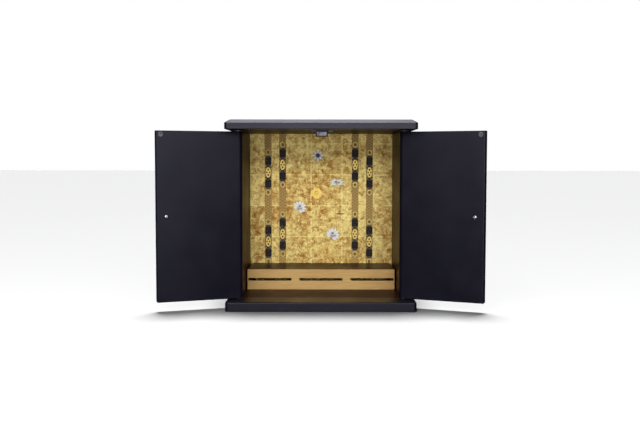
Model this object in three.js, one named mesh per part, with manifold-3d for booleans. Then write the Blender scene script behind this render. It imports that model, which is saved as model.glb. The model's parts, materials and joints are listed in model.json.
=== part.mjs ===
// Household altar cabinet: two boards with a carcass between them, a pair of doors hung on pins,
// a gold-leafed back panel and a low stand inside, at the back.
//
// Millimetres, +Z up. The front faces -Y, and +X is to the right of a person who looks at the front.
// The origin is the centre of the base board's underside. The doors are modelled open.

import * as THREE from 'three';
import { mergeVertices } from 'three/addons/utils/BufferGeometryUtils.js';
import Module from 'manifold-3d';

// ---------------------------------------------------------------- driving dimensions

// The two boards, which project past the carcass at the front and at both ends.
const BOARD_WIDTH = 400;
const BOARD_DEPTH = 310;
const BOARD_THICKNESS = 20;
const BOARD_CORNER_RADIUS = 6;
const BOARD_EASE = 0.75;
const TOP_CHAMFER_WIDTH = 12;
const TOP_CHAMFER_HEIGHT = 7;
const BASE_ROUND = 2.5;

// The carcass between them.
const CLEAR_HEIGHT = 360;
const INNER_WIDTH = 344;
const SIDE_THICKNESS = 15;
const SIDE_EASE = 1;
const FRONT_OVERHANG = 66;
const BACK_BOARD_THICKNESS = 5;
const GOLD_PANEL_THICKNESS = 3;

// The doors and the pins that they turn on.
const DOOR_THICKNESS = 18;
const DOOR_REACH = 175;
const DOOR_PIVOT_X = 176;
const DOOR_SIDE_GAP = 2;
const DOOR_TOP_GAP = 3.6;
const DOOR_BOTTOM_GAP = 1.2;
const DOOR_EASE = 1;
const DOOR_EDGE_RADIUS = 2;
const LEFT_DOOR_OPEN_DEG = 159.7;
const RIGHT_DOOR_OPEN_DEG = 157.5;
const PIN_RADIUS = 2.5;
const PIN_IN_DOOR = 12;
const PIN_IN_BOARD = 10;
const PIN_COLLAR_RADIUS = 6;

// The knob on the outer face of each door, and the screw that holds it from inside.
const KNOB_FROM_EDGE = 20;
const KNOB_BASE_RADIUS = 7.5;
const KNOB_NECK_RADIUS = 4.5;
const KNOB_HEAD_RADIUS = 8.5;
const KNOB_HEIGHT = 17;
const KNOB_SCREW_RADIUS = 2;
const KNOB_SCREW_IN_KNOB = 8;
const KNOB_SCREW_HEAD_RADIUS = 4.8;
const KNOB_SCREW_HEAD_HEIGHT = 2.6;

// The magnetic catch under the top board, and the steel disc on each door that it holds.
const CATCH_WIDTH = 26.5;
const CATCH_DEPTH = 13;
const CATCH_HEIGHT = 13.5;
const CATCH_EAR_SPAN = 47;
const CATCH_EAR_THICKNESS = 3;
const CATCH_SCREW_IN_BOARD = 8;
const CATCH_LIP = 2.5;
const CATCH_OFF_CENTRE = 1.5;
const MAGNET_WIDTH = 21.5;
const MAGNET_HEIGHT = 8;
const MAGNET_PROUD = 1.25;
const MAGNET_INSET = 4;
const MAGNET_ABOVE_FOOT = 1.75;
const STRIKE_FROM_EDGE = 9.5;
const STRIKE_FROM_TOP = 8;
const STRIKE_RADIUS = 5;
const STRIKE_THICKNESS = 1.2;

// The stand inside: a slotted front panel and a top on two ends.
const STAND_WIDTH = 337.5;
const STAND_FRONT_SETBACK = 115;
const STAND_HEIGHT = 46.5;
const STAND_PANEL_HEIGHT = 46;
const STAND_PANEL_THICKNESS = 6;
const STAND_BOARD_THICKNESS = 8.5;
const STAND_BACK_GAP = 0.5;
const SLOT_COUNT = 3;
const SLOT_LENGTH = 99;
const SLOT_HEIGHT = 6.4;
const SLOT_PITCH = 117.5;
const SLOT_BOTTOM = 20;

// Room left round a fitting, so that neighbours in a turned door never cut into each other.
const FIT_GAP = 0.3;

const ROUND_STEPS = 24;
const SMALL_ROUND_STEPS = 14;

// ---------------------------------------------------------------- heights and planes

const FLOOR_Z = BOARD_THICKNESS;
const CEILING_Z = BOARD_THICKNESS + CLEAR_HEIGHT;
const FRONT_Y = -BOARD_DEPTH / 2;
const BACK_Y = BOARD_DEPTH / 2;
const SIDE_FRONT_Y = FRONT_Y + FRONT_OVERHANG;
const BACK_BOARD_Y = BACK_Y - BACK_BOARD_THICKNESS;
const GOLD_FACE_Y = BACK_BOARD_Y - GOLD_PANEL_THICKNESS;
const PIVOT_Y = SIDE_FRONT_Y - DOOR_SIDE_GAP - DOOR_THICKNESS / 2;
const DOOR_BOTTOM_Z = FLOOR_Z + DOOR_BOTTOM_GAP;
const DOOR_TOP_Z = CEILING_Z - DOOR_TOP_GAP;
const DOOR_HEIGHT = DOOR_TOP_Z - DOOR_BOTTOM_Z;
const DOOR_MIDDLE_Z = (DOOR_BOTTOM_Z + DOOR_TOP_Z) / 2;
const STAND_FRONT_Y = SIDE_FRONT_Y + STAND_FRONT_SETBACK;
const STAND_BOARDS_Y = STAND_FRONT_Y + STAND_PANEL_THICKNESS;
const STAND_BACK_Y = GOLD_FACE_Y - STAND_BACK_GAP;
const BORE_RADIUS = PIN_RADIUS + FIT_GAP;
const CATCH_FRONT_Y = SIDE_FRONT_Y + MAGNET_PROUD;
const CATCH_SCREW_X = (CATCH_WIDTH + CATCH_EAR_SPAN) / 4;
const CATCH_SCREW_Y = CATCH_FRONT_Y + CATCH_DEPTH / 2;

// ---------------------------------------------------------------- materials

const lacquer = () => new THREE.MeshStandardMaterial({ color: 0x1d1c28, roughness: 0.35, metalness: 0 });
const goldLeaf = () => new THREE.MeshStandardMaterial({ color: 0xc09a4e, roughness: 0.4, metalness: 0.8 });
const paleWood = () => new THREE.MeshStandardMaterial({ color: 0xb89157, roughness: 0.5, metalness: 0 });
const nickel = () => new THREE.MeshStandardMaterial({ color: 0xb9bac0, roughness: 0.25, metalness: 1 });
const brass = () => new THREE.MeshStandardMaterial({ color: 0xb08d4c, roughness: 0.35, metalness: 1 });
const darkPlastic = () => new THREE.MeshStandardMaterial({ color: 0x17161d, roughness: 0.5, metalness: 0 });
const poleSteel = () => new THREE.MeshStandardMaterial({ color: 0x9a96a6, roughness: 0.4, metalness: 0.7 });

// ---------------------------------------------------------------- solids, cut and joined

const wasm = await Module();
wasm.setup();

/** A solid from a closed geometry, its shared vertices merged by position. */
function toSolid(geometry) {
  const bare = geometry.clone();
  bare.deleteAttribute('normal');
  bare.deleteAttribute('uv');
  const merged = mergeVertices(bare, 1e-4);
  const mesh = new wasm.Mesh({
    numProp: 3,
    vertProperties: new Float32Array(merged.attributes.position.array),
    triVerts: new Uint32Array(merged.index.array),
  });
  return new wasm.Manifold(mesh);
}

/** A geometry from a solid. */
function toGeometry(solid) {
  const mesh = solid.getMesh();
  const geometry = new THREE.BufferGeometry();
  geometry.setAttribute('position', new THREE.BufferAttribute(new Float32Array(mesh.vertProperties), 3));
  geometry.setIndex(new THREE.BufferAttribute(new Uint32Array(mesh.triVerts), 1));
  geometry.computeVertexNormals();
  return geometry;
}

/** The first geometry with all the others cut out of it. */
function cut(body, tools) {
  return toGeometry(tools.reduce((solid, tool) => solid.subtract(toSolid(tool)), toSolid(body)));
}

/** What all the geometries have in common. */
function common(first, ...rest) {
  return toGeometry(rest.reduce((solid, other) => solid.intersect(toSolid(other)), toSolid(first)));
}

// ---------------------------------------------------------------- profiles and extrusions

/** Turns an extrusion so that its outline stands in the X-Z plane, from y = backY forwards. */
function standFacingFront(geometry, backY) {
  return geometry.rotateX(Math.PI / 2).translate(0, backY, 0);
}

/** Turns an extrusion of a Y-Z outline so that it runs along X, centred on x = 0. */
function runAlongX(geometry, length) {
  const turn = new THREE.Matrix4().makeBasis(
    new THREE.Vector3(0, 1, 0),
    new THREE.Vector3(0, 0, 1),
    new THREE.Vector3(1, 0, 0),
  );
  return geometry.applyMatrix4(turn).translate(-length / 2, 0, 0);
}

/** A plain extrusion of an outline. */
function extrude(outline, depth, curveSegments = 6) {
  return new THREE.ExtrudeGeometry(outline, { depth, curveSegments, bevelEnabled: false });
}

/** An extrusion whose rims at both ends are eased by a narrow flat, within the same outline and depth. */
function extrudeEased(outline, depth, ease, curveSegments = 6) {
  const geometry = new THREE.ExtrudeGeometry(outline, {
    depth: depth - 2 * ease,
    curveSegments,
    bevelEnabled: true,
    bevelThickness: ease,
    bevelSize: ease,
    bevelOffset: -ease,
    bevelSegments: 1,
  });
  return geometry.translate(0, 0, ease);
}

/** A rectangle whose corners are rounded, by one radius at its low-Y side and another at its high-Y side. */
function roundedRectangle(minX, minY, maxX, maxY, lowRadius, highRadius = lowRadius) {
  const outline = new THREE.Shape();
  const corner = (x, y, radius, startAngle) => {
    if (radius > 0) {
      outline.absarc(x, y, radius, startAngle, startAngle + Math.PI / 2);
    } else {
      outline.lineTo(x, y);
    }
  };
  outline.moveTo(minX + lowRadius, minY);
  outline.lineTo(maxX - lowRadius, minY);
  corner(maxX - lowRadius, minY + lowRadius, lowRadius, -Math.PI / 2);
  outline.lineTo(maxX, maxY - highRadius);
  corner(maxX - highRadius, maxY - highRadius, highRadius, 0);
  outline.lineTo(minX + highRadius, maxY);
  corner(minX + highRadius, maxY - highRadius, highRadius, Math.PI / 2);
  outline.lineTo(minX, minY + lowRadius);
  corner(minX + lowRadius, minY + lowRadius, lowRadius, Math.PI);
  return outline;
}

/** A turned piece: a profile of [radius, height] pairs about the Z axis, from the axis back to the axis. */
function turned(profile, steps = ROUND_STEPS) {
  return new THREE.LatheGeometry(profile.map(([radius, height]) => new THREE.Vector2(radius, height)), steps)
    .rotateX(Math.PI / 2);
}

/** The same turned piece, standing along -Y instead of along Z. */
function turnedTowardsFront(profile, steps = ROUND_STEPS) {
  return turned(profile, steps).rotateX(Math.PI / 2);
}

/** A round cutter along Z. */
function boreAlongZ(radius, x, y, fromZ, toZ) {
  return new THREE.CylinderGeometry(radius, radius, toZ - fromZ, SMALL_ROUND_STEPS)
    .rotateX(Math.PI / 2)
    .translate(x, y, (fromZ + toZ) / 2);
}

/** A round cutter along Y. */
function boreAlongY(radius, x, z, fromY, toY) {
  return new THREE.CylinderGeometry(radius, radius, toY - fromY, SMALL_ROUND_STEPS)
    .translate(x, (fromY + toY) / 2, z);
}

/** A box between two corners. */
function box(minX, minY, minZ, maxX, maxY, maxZ) {
  return new THREE.BoxGeometry(maxX - minX, maxY - minY, maxZ - minZ)
    .translate((minX + maxX) / 2, (minY + maxY) / 2, (minZ + maxZ) / 2);
}

/** A named piece. */
function piece(name, geometry, material) {
  const mesh = new THREE.Mesh(geometry, material);
  mesh.name = name;
  return mesh;
}

// ---------------------------------------------------------------- boards

// An edge's profile is a list of [inset from the board's side, height above its underside], from the
// underside up.
const PLAIN_EDGE = [[BOARD_EASE, 0], [0, BOARD_EASE], [0, BOARD_THICKNESS - BOARD_EASE], [BOARD_EASE, BOARD_THICKNESS]];
const CHAMFERED_EDGE = [[BOARD_EASE, 0], [0, BOARD_EASE], [0, BOARD_THICKNESS - TOP_CHAMFER_HEIGHT],
  [TOP_CHAMFER_WIDTH, BOARD_THICKNESS]];
const ROUNDED_EDGE = [[BOARD_EASE, 0], [0, BOARD_EASE], ...quarterRound(BASE_ROUND, BOARD_THICKNESS)];

/** The upper rounding of an edge, as profile points that end on the board's upper face. */
function quarterRound(radius, thickness, steps = 6) {
  return Array.from({ length: steps + 1 }, (_, i) => {
    const angle = (i / steps) * (Math.PI / 2);
    return [radius * (1 - Math.cos(angle)), thickness - radius * (1 - Math.sin(angle))];
  });
}

/** The section of a board from minU to maxU, given the profile of each of its two edges. */
function boardSection(minU, maxU, minEdge, maxEdge) {
  const rising = maxEdge.map(([inset, height]) => new THREE.Vector2(maxU - inset, height));
  const falling = minEdge.map(([inset, height]) => new THREE.Vector2(minU + inset, height)).reverse();
  return new THREE.Shape([...rising, ...falling]);
}

/**
 * A board with its underside at z = 0. It is what a front section, an end section and a plan have in
 * common, so that the shaped edges meet in true mitres at the two front corners.
 */
function boardGeometry(edge) {
  const halfWidth = BOARD_WIDTH / 2;
  const frontSection = boardSection(-halfWidth, halfWidth, edge, edge);
  const endSection = boardSection(FRONT_Y, BACK_Y, edge, PLAIN_EDGE);
  const plan = roundedRectangle(-halfWidth, FRONT_Y, halfWidth, BACK_Y, BOARD_CORNER_RADIUS, BOARD_EASE);
  return common(
    standFacingFront(extrude(frontSection, BOARD_DEPTH), BACK_Y),
    runAlongX(extrude(endSection, BOARD_WIDTH), BOARD_WIDTH),
    extrude(plan, BOARD_THICKNESS),
  );
}

/** The cutters for the two blind holes that the door pins turn in. */
function pivotBores(fromZ, toZ) {
  return [-1, 1].map((side) => boreAlongZ(BORE_RADIUS, side * DOOR_PIVOT_X, PIVOT_Y, fromZ, toZ));
}

/** The cutters for the two blind holes of the catch's screws. */
function catchScrewBores() {
  const toZ = CEILING_Z + CATCH_SCREW_IN_BOARD + FIT_GAP;
  return [-1, 1].map((side) => (
    boreAlongZ(1.5 + FIT_GAP, CATCH_OFF_CENTRE + side * CATCH_SCREW_X, CATCH_SCREW_Y, CEILING_Z - 1, toZ)
  ));
}

function makeBoards() {
  const boreDepth = PIN_IN_BOARD + FIT_GAP;
  const base = cut(boardGeometry(ROUNDED_EDGE), pivotBores(FLOOR_Z - boreDepth, FLOOR_Z + 1));
  const top = cut(boardGeometry(CHAMFERED_EDGE).translate(0, 0, CEILING_Z), [
    ...pivotBores(CEILING_Z - 1, CEILING_Z + boreDepth),
    ...catchScrewBores(),
  ]);
  return [piece('base_board', base, lacquer()), piece('top_board', top, lacquer())];
}

// ---------------------------------------------------------------- carcass

function makeCarcass() {
  const innerX = INNER_WIDTH / 2;
  const outerX = innerX + SIDE_THICKNESS;
  const sidePlan = roundedRectangle(innerX, SIDE_FRONT_Y, outerX, BACK_BOARD_Y, SIDE_EASE, 0);
  const sideGeometry = (offset) => extrude(sidePlan, CLEAR_HEIGHT, 3).translate(offset, 0, FLOOR_Z);
  return [
    piece('side_panel_left', sideGeometry(-innerX - outerX), lacquer()),
    piece('side_panel_right', sideGeometry(0), lacquer()),
    piece('back_board', box(-outerX, BACK_BOARD_Y, FLOOR_Z, outerX, BACK_Y, CEILING_Z), lacquer()),
    piece('gold_panel', box(-innerX, GOLD_FACE_Y, FLOOR_Z, innerX, BACK_BOARD_Y, CEILING_Z), goldLeaf()),
  ];
}

// ---------------------------------------------------------------- stand

/** The front panel's outline, with a row of equal slots along its middle. */
function slottedPanel() {
  const halfWidth = STAND_WIDTH / 2;
  const outline = roundedRectangle(-halfWidth, FLOOR_Z, halfWidth, FLOOR_Z + STAND_PANEL_HEIGHT, 0.5);
  for (let i = 0; i < SLOT_COUNT; i += 1) {
    const middle = (i - (SLOT_COUNT - 1) / 2) * SLOT_PITCH;
    const bottom = FLOOR_Z + SLOT_BOTTOM;
    const slot = roundedRectangle(
      middle - SLOT_LENGTH / 2,
      bottom,
      middle + SLOT_LENGTH / 2,
      bottom + SLOT_HEIGHT,
      1,
    );
    outline.holes.push(slot);
  }
  return outline;
}

function makeStand() {
  const halfWidth = STAND_WIDTH / 2;
  const boardZ = FLOOR_Z + STAND_HEIGHT - STAND_BOARD_THICKNESS;
  const endInnerX = halfWidth - STAND_BOARD_THICKNESS;
  const panel = standFacingFront(extrude(slottedPanel(), STAND_PANEL_THICKNESS, 3), STAND_BOARDS_Y);
  const top = box(-halfWidth, STAND_BOARDS_Y, boardZ, halfWidth, STAND_BACK_Y, FLOOR_Z + STAND_HEIGHT);
  const leftEnd = box(-halfWidth, STAND_BOARDS_Y, FLOOR_Z, -endInnerX, STAND_BACK_Y, boardZ);
  const rightEnd = box(endInnerX, STAND_BOARDS_Y, FLOOR_Z, halfWidth, STAND_BACK_Y, boardZ);
  return [
    piece('stand_front', panel, paleWood()),
    piece('stand_top', top, lacquer()),
    piece('stand_end_left', leftEnd, lacquer()),
    piece('stand_end_right', rightEnd, lacquer()),
  ];
}

// ---------------------------------------------------------------- magnetic catch

/** The housing: a lip in front that reaches the ceiling, and a lower shoulder behind it for the strap. */
function catchHousing(bottomZ, shoulderZ, pocket) {
  const backY = CATCH_FRONT_Y + CATCH_DEPTH;
  const section = new THREE.Shape();
  section.moveTo(CATCH_FRONT_Y, bottomZ);
  section.lineTo(backY, bottomZ);
  section.lineTo(backY, shoulderZ);
  section.lineTo(CATCH_FRONT_Y + CATCH_LIP, shoulderZ);
  section.lineTo(CATCH_FRONT_Y + CATCH_LIP, CEILING_Z);
  section.lineTo(CATCH_FRONT_Y, CEILING_Z);
  return cut(runAlongX(extrude(section, CATCH_WIDTH), CATCH_WIDTH), [pocket]);
}

/** The steel strap that lies on the shoulder and ends in two ears, each pierced for a screw. */
function catchStrap(shoulderZ) {
  const backY = CATCH_FRONT_Y + CATCH_DEPTH;
  const lipX = CATCH_WIDTH / 2 + FIT_GAP;
  const lipY = CATCH_FRONT_Y + CATCH_LIP + FIT_GAP;
  const earX = CATCH_EAR_SPAN / 2;
  const outline = new THREE.Shape();
  outline.moveTo(-earX, CATCH_FRONT_Y);
  outline.lineTo(-lipX, CATCH_FRONT_Y);
  outline.lineTo(-lipX, lipY);
  outline.lineTo(lipX, lipY);
  outline.lineTo(lipX, CATCH_FRONT_Y);
  outline.lineTo(earX, CATCH_FRONT_Y);
  outline.lineTo(earX, backY);
  outline.lineTo(-earX, backY);
  const bores = [-1, 1].map((side) => (
    boreAlongZ(1.5 + FIT_GAP, side * CATCH_SCREW_X, CATCH_SCREW_Y, shoulderZ - 1, CEILING_Z + 1)
  ));
  return cut(extrude(outline, CATCH_EAR_THICKNESS).translate(0, 0, shoulderZ), bores);
}

/** A round-headed screw that hangs under an ear, with its shank through the ear and up into the board. */
function catchScrew(side, shoulderZ) {
  const tip = CATCH_EAR_THICKNESS + CATCH_SCREW_IN_BOARD;
  const profile = [[0, -1.5], [1.6, -1.2], [2.4, -0.5], [2.6, 0], [1.5, 0], [1.5, tip - 1], [0, tip]];
  return turned(profile, SMALL_ROUND_STEPS).translate(side * CATCH_SCREW_X, CATCH_SCREW_Y, shoulderZ);
}

function makeCatch() {
  const shoulderZ = CEILING_Z - CATCH_EAR_THICKNESS;
  const bottomZ = CEILING_Z - CATCH_HEIGHT;
  const magnetX = MAGNET_WIDTH / 2;
  const magnetZ = bottomZ + MAGNET_ABOVE_FOOT;
  const magnetBackY = CATCH_FRONT_Y + MAGNET_INSET;
  const pocket = box(
    -magnetX - FIT_GAP,
    CATCH_FRONT_Y - 1,
    magnetZ - FIT_GAP,
    magnetX + FIT_GAP,
    magnetBackY + FIT_GAP,
    magnetZ + MAGNET_HEIGHT + FIT_GAP,
  );
  const magnet = box(-magnetX, SIDE_FRONT_Y, magnetZ, magnetX, magnetBackY, magnetZ + MAGNET_HEIGHT);
  const fitted = (geometry) => geometry.translate(CATCH_OFF_CENTRE, 0, 0);
  return [
    piece('catch_housing', fitted(catchHousing(bottomZ, shoulderZ, pocket)), darkPlastic()),
    piece('catch_strap', fitted(catchStrap(shoulderZ)), nickel()),
    piece('catch_magnet', fitted(magnet), poleSteel()),
    piece('catch_screw_left', fitted(catchScrew(-1, shoulderZ)), nickel()),
    piece('catch_screw_right', fitted(catchScrew(1, shoulderZ)), nickel()),
  ];
}

// ---------------------------------------------------------------- doors

/**
 * A door in its own frame, whose Z axis is the line of its pins. Closed, it reaches from there towards
 * +X times reach, with its outer face at -Y. The edge by the pins is a full round about them.
 */
function doorSlab(reach) {
  const half = DOOR_THICKNESS / 2;
  const far = DOOR_REACH;
  const radius = DOOR_EDGE_RADIUS;
  const points = [];
  const arc = (x, y, r, from, to, steps) => {
    for (let i = 0; i <= steps; i += 1) {
      const angle = THREE.MathUtils.degToRad(from + ((to - from) * i) / steps);
      points.push(new THREE.Vector2(reach * (x + r * Math.cos(angle)), y + r * Math.sin(angle)));
    }
  };
  arc(0, 0, half, 90, 270, 14);
  arc(far - radius, -half + radius, radius, -90, 0, 3);
  arc(far - radius, half - radius, radius, 0, 90, 3);
  return extrudeEased(new THREE.Shape(points), DOOR_HEIGHT, DOOR_EASE).translate(0, 0, DOOR_BOTTOM_Z);
}

/** A pin with a collar that fills the gap between door and board; the shank on each side of it is round. */
function pinGeometry(collarBottom, collarTop, shankBottom, shankTop) {
  const profile = [[0, shankBottom], [PIN_RADIUS, shankBottom], [PIN_RADIUS, collarBottom],
    [PIN_COLLAR_RADIUS, collarBottom], [PIN_COLLAR_RADIUS, collarTop], [PIN_RADIUS, collarTop],
    [PIN_RADIUS, shankTop], [0, shankTop]];
  return turned(profile, SMALL_ROUND_STEPS);
}

/** A knob that stands along -Y on y = 0, with a blind hole for its screw. */
function knobGeometry() {
  const hole = KNOB_SCREW_RADIUS + FIT_GAP;
  const profile = [[0, KNOB_SCREW_IN_KNOB + FIT_GAP], [hole, KNOB_SCREW_IN_KNOB + FIT_GAP], [hole, 0],
    [KNOB_BASE_RADIUS, 0], [KNOB_BASE_RADIUS, 1.2], [KNOB_BASE_RADIUS - 1, 2], [KNOB_NECK_RADIUS, 4],
    [KNOB_NECK_RADIUS, 7]];
  const domeSteps = 6;
  const domeBottom = 9.5;
  for (let i = 0; i < domeSteps; i += 1) {
    const angle = (i / domeSteps) * (Math.PI / 2);
    const height = domeBottom + (KNOB_HEIGHT - domeBottom) * Math.sin(angle);
    profile.push([KNOB_HEAD_RADIUS * Math.cos(angle), height]);
  }
  profile.push([0, KNOB_HEIGHT]);
  return turnedTowardsFront(profile);
}

/** A pan-head screw along -Y whose head sits on y = 0, with a cross recess in its head. */
function knobScrewGeometry() {
  const headRadius = KNOB_SCREW_HEAD_RADIUS;
  const headHeight = KNOB_SCREW_HEAD_HEIGHT;
  const tip = DOOR_THICKNESS + 2 * FIT_GAP + KNOB_SCREW_IN_KNOB - 1;
  const profile = [[0, -headHeight], [headRadius * 0.55, -headHeight * 0.92], [headRadius * 0.88, -headHeight * 0.6],
    [headRadius, 0], [KNOB_SCREW_RADIUS, 0], [KNOB_SCREW_RADIUS, tip - 1], [1, tip], [0, tip]];
  const arm = headRadius * 0.55;
  const recess = [box(-arm, 1.2, -0.5, arm, 4, 0.5), box(-0.5, 1.2, -arm, 0.5, 4, arm)];
  return cut(turnedTowardsFront(profile), recess);
}

/** A steel disc facing +Y, countersunk in the middle for its screw. */
function strikeDiscGeometry() {
  const profile = [[1.7, 0], [2.8, -STRIKE_THICKNESS], [STRIKE_RADIUS - 0.3, -STRIKE_THICKNESS],
    [STRIKE_RADIUS, -STRIKE_THICKNESS + 0.3], [STRIKE_RADIUS, 0], [1.7, 0]];
  return turnedTowardsFront(profile, SMALL_ROUND_STEPS);
}

/** The countersunk screw of a steel disc, its head level with the disc's face. */
function strikeScrewGeometry() {
  const profile = [[0, -STRIKE_THICKNESS], [2.3, -STRIKE_THICKNESS], [1.2, 0], [1.2, 9], [0, 10]];
  return turnedTowardsFront(profile, SMALL_ROUND_STEPS);
}

/** A door with its pins, knob and fittings, turned open about its pins. */
function makeDoor(label, side, openDeg) {
  const reach = -side;
  const half = DOOR_THICKNESS / 2;
  const knobX = reach * (DOOR_REACH - KNOB_FROM_EDGE);
  const strikeX = reach * (DOOR_REACH - STRIKE_FROM_EDGE);
  const strikeZ = DOOR_TOP_Z - STRIKE_FROM_TOP;
  const boreDepth = PIN_IN_DOOR + FIT_GAP;
  const slab = cut(doorSlab(reach), [
    boreAlongZ(BORE_RADIUS, 0, 0, DOOR_BOTTOM_Z - 1, DOOR_BOTTOM_Z + boreDepth),
    boreAlongZ(BORE_RADIUS, 0, 0, DOOR_TOP_Z - boreDepth, DOOR_TOP_Z + 1),
    boreAlongY(KNOB_SCREW_RADIUS + FIT_GAP, knobX, DOOR_MIDDLE_Z, -half - 1, half + 1),
    boreAlongY(1.2 + FIT_GAP, strikeX, strikeZ, half - 10, half + 1),
  ]);
  const lowerPin = pinGeometry(
    FLOOR_Z + FIT_GAP,
    DOOR_BOTTOM_Z - FIT_GAP,
    FLOOR_Z - PIN_IN_BOARD,
    DOOR_BOTTOM_Z + PIN_IN_DOOR,
  );
  const upperPin = pinGeometry(
    DOOR_TOP_Z + FIT_GAP,
    CEILING_Z - FIT_GAP,
    DOOR_TOP_Z - PIN_IN_DOOR,
    CEILING_Z + PIN_IN_BOARD,
  );
  const faceY = half + FIT_GAP;
  const door = new THREE.Group();
  door.add(
    piece(`door_${label}`, slab, lacquer()),
    piece(`pin_lower_${label}`, lowerPin, brass()),
    piece(`pin_upper_${label}`, upperPin, brass()),
    piece(`knob_${label}`, knobGeometry().translate(knobX, -faceY, DOOR_MIDDLE_Z), nickel()),
    piece(`knob_screw_${label}`, knobScrewGeometry().translate(knobX, faceY, DOOR_MIDDLE_Z), nickel()),
    piece(`strike_disc_${label}`, strikeDiscGeometry().translate(strikeX, faceY, strikeZ), nickel()),
    piece(`strike_screw_${label}`, strikeScrewGeometry().translate(strikeX, faceY, strikeZ), nickel()),
  );
  door.position.set(side * DOOR_PIVOT_X, PIVOT_Y, 0);
  door.rotation.z = THREE.MathUtils.degToRad(side * openDeg);
  return door;
}

// ---------------------------------------------------------------- the whole cabinet

const cabinet = new THREE.Group();
cabinet.add(
  ...makeBoards(),
  ...makeCarcass(),
  ...makeStand(),
  ...makeCatch(),
  makeDoor('left', -1, LEFT_DOOR_OPEN_DEG),
  makeDoor('right', 1, RIGHT_DOOR_OPEN_DEG),
);

export default cabinet;
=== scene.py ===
"""A household altar cabinet with its doors open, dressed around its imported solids.

Everything is in metres: +Z is up, the front faces -Y, and the origin is the centre of the base board's
underside.
"""

import enum
import json
import logging
import math
from dataclasses import dataclass, field
from typing import Iterable, Mapping, Optional, Sequence, Union

import bmesh
import bpy
import numpy as np
from mathutils import Matrix, Vector


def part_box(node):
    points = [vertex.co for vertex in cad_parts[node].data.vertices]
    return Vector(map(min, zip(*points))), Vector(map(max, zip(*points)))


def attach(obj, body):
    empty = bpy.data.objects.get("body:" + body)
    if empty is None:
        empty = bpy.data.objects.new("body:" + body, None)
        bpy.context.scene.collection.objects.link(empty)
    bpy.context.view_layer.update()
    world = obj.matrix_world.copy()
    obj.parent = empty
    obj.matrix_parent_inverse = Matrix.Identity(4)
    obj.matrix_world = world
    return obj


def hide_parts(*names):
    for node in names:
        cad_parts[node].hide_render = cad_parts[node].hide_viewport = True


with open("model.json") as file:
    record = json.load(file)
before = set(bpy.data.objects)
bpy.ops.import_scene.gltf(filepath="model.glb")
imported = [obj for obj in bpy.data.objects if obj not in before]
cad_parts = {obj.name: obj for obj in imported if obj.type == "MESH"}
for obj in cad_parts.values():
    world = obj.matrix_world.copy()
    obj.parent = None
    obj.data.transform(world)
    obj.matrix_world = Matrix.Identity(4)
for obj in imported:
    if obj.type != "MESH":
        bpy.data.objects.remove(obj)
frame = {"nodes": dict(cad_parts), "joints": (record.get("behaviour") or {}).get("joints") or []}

LOG = logging.getLogger("altar_cabinet")
MM = 0.001
Number = Union[int, float]
Colour = tuple[float, float, float]


# ---------------------------------------------------------------- shader arithmetic


class Value:
    """A number that varies over a surface: a node's output socket that can be used in plain arithmetic."""

    def __init__(self, graph: "Graph", socket: bpy.types.NodeSocket) -> None:
        """Wraps one output socket of a graph."""
        self.graph = graph
        self.socket = socket

    def _math(self, operation: str, *operands: "Operand") -> "Value":
        """Adds one Math node.

        Args:
            operation: The node's operation.
            operands: Its inputs, in order.

        Returns:
            The node's result.
        """
        return self.graph.value("ShaderNodeMath", {"operation": operation}, dict(enumerate(operands)))

    def __add__(self, other: "Operand") -> "Value":
        """Sum."""
        return self._math("ADD", self, other)

    __radd__ = __add__

    def __sub__(self, other: "Operand") -> "Value":
        """Difference."""
        return self._math("SUBTRACT", self, other)

    def __rsub__(self, other: "Operand") -> "Value":
        """Difference, the other way round."""
        return self._math("SUBTRACT", other, self)

    def __mul__(self, other: "Operand") -> "Value":
        """Product."""
        return self._math("MULTIPLY", self, other)

    __rmul__ = __mul__

    def __truediv__(self, other: "Operand") -> "Value":
        """Quotient."""
        return self._math("DIVIDE", self, other)

    def __pow__(self, other: "Operand") -> "Value":
        """Power."""
        return self._math("POWER", self, other)

    def __lt__(self, other: "Operand") -> "Value":
        """1 where this is less than the other, and 0 elsewhere."""
        return self._math("LESS_THAN", self, other)

    def __gt__(self, other: "Operand") -> "Value":
        """1 where this is more than the other, and 0 elsewhere."""
        return self._math("GREATER_THAN", self, other)

    def __abs__(self) -> "Value":
        """Size without sign."""
        return self._math("ABSOLUTE", self)

    def wrapped(self, period: Number) -> "Value":
        """What is left over after whole periods, from 0 to the period."""
        return self._math("FLOORED_MODULO", self, period)

    def floored(self) -> "Value":
        """The whole number below."""
        return self._math("FLOOR", self)

    def sine(self) -> "Value":
        """The sine of this angle in radians."""
        return self._math("SINE", self)

    def most(self, other: "Operand") -> "Value":
        """The larger of the two."""
        return self._math("MAXIMUM", self, other)

    def least(self, other: "Operand") -> "Value":
        """The smaller of the two."""
        return self._math("MINIMUM", self, other)

    def ramp(self, start: Number, end: Number, low: Number = 0.0, high: Number = 1.0) -> "Value":
        """Rises smoothly from low at start to high at end, and is flat outside.

        Args:
            start: Where the rise begins; it may be above end, and then the ramp falls.
            end: Where the rise ends.
            low: The result at start.
            high: The result at end.

        Returns:
            The eased result.
        """
        if start > end:
            start, end, low, high = end, start, high, low
        return self.graph.value(
            "ShaderNodeMapRange",
            {"interpolation_type": "SMOOTHSTEP"},
            {"Value": self, "From Min": start, "From Max": end, "To Min": low, "To Max": high},
        )


Operand = Union[Value, Number]


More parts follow.
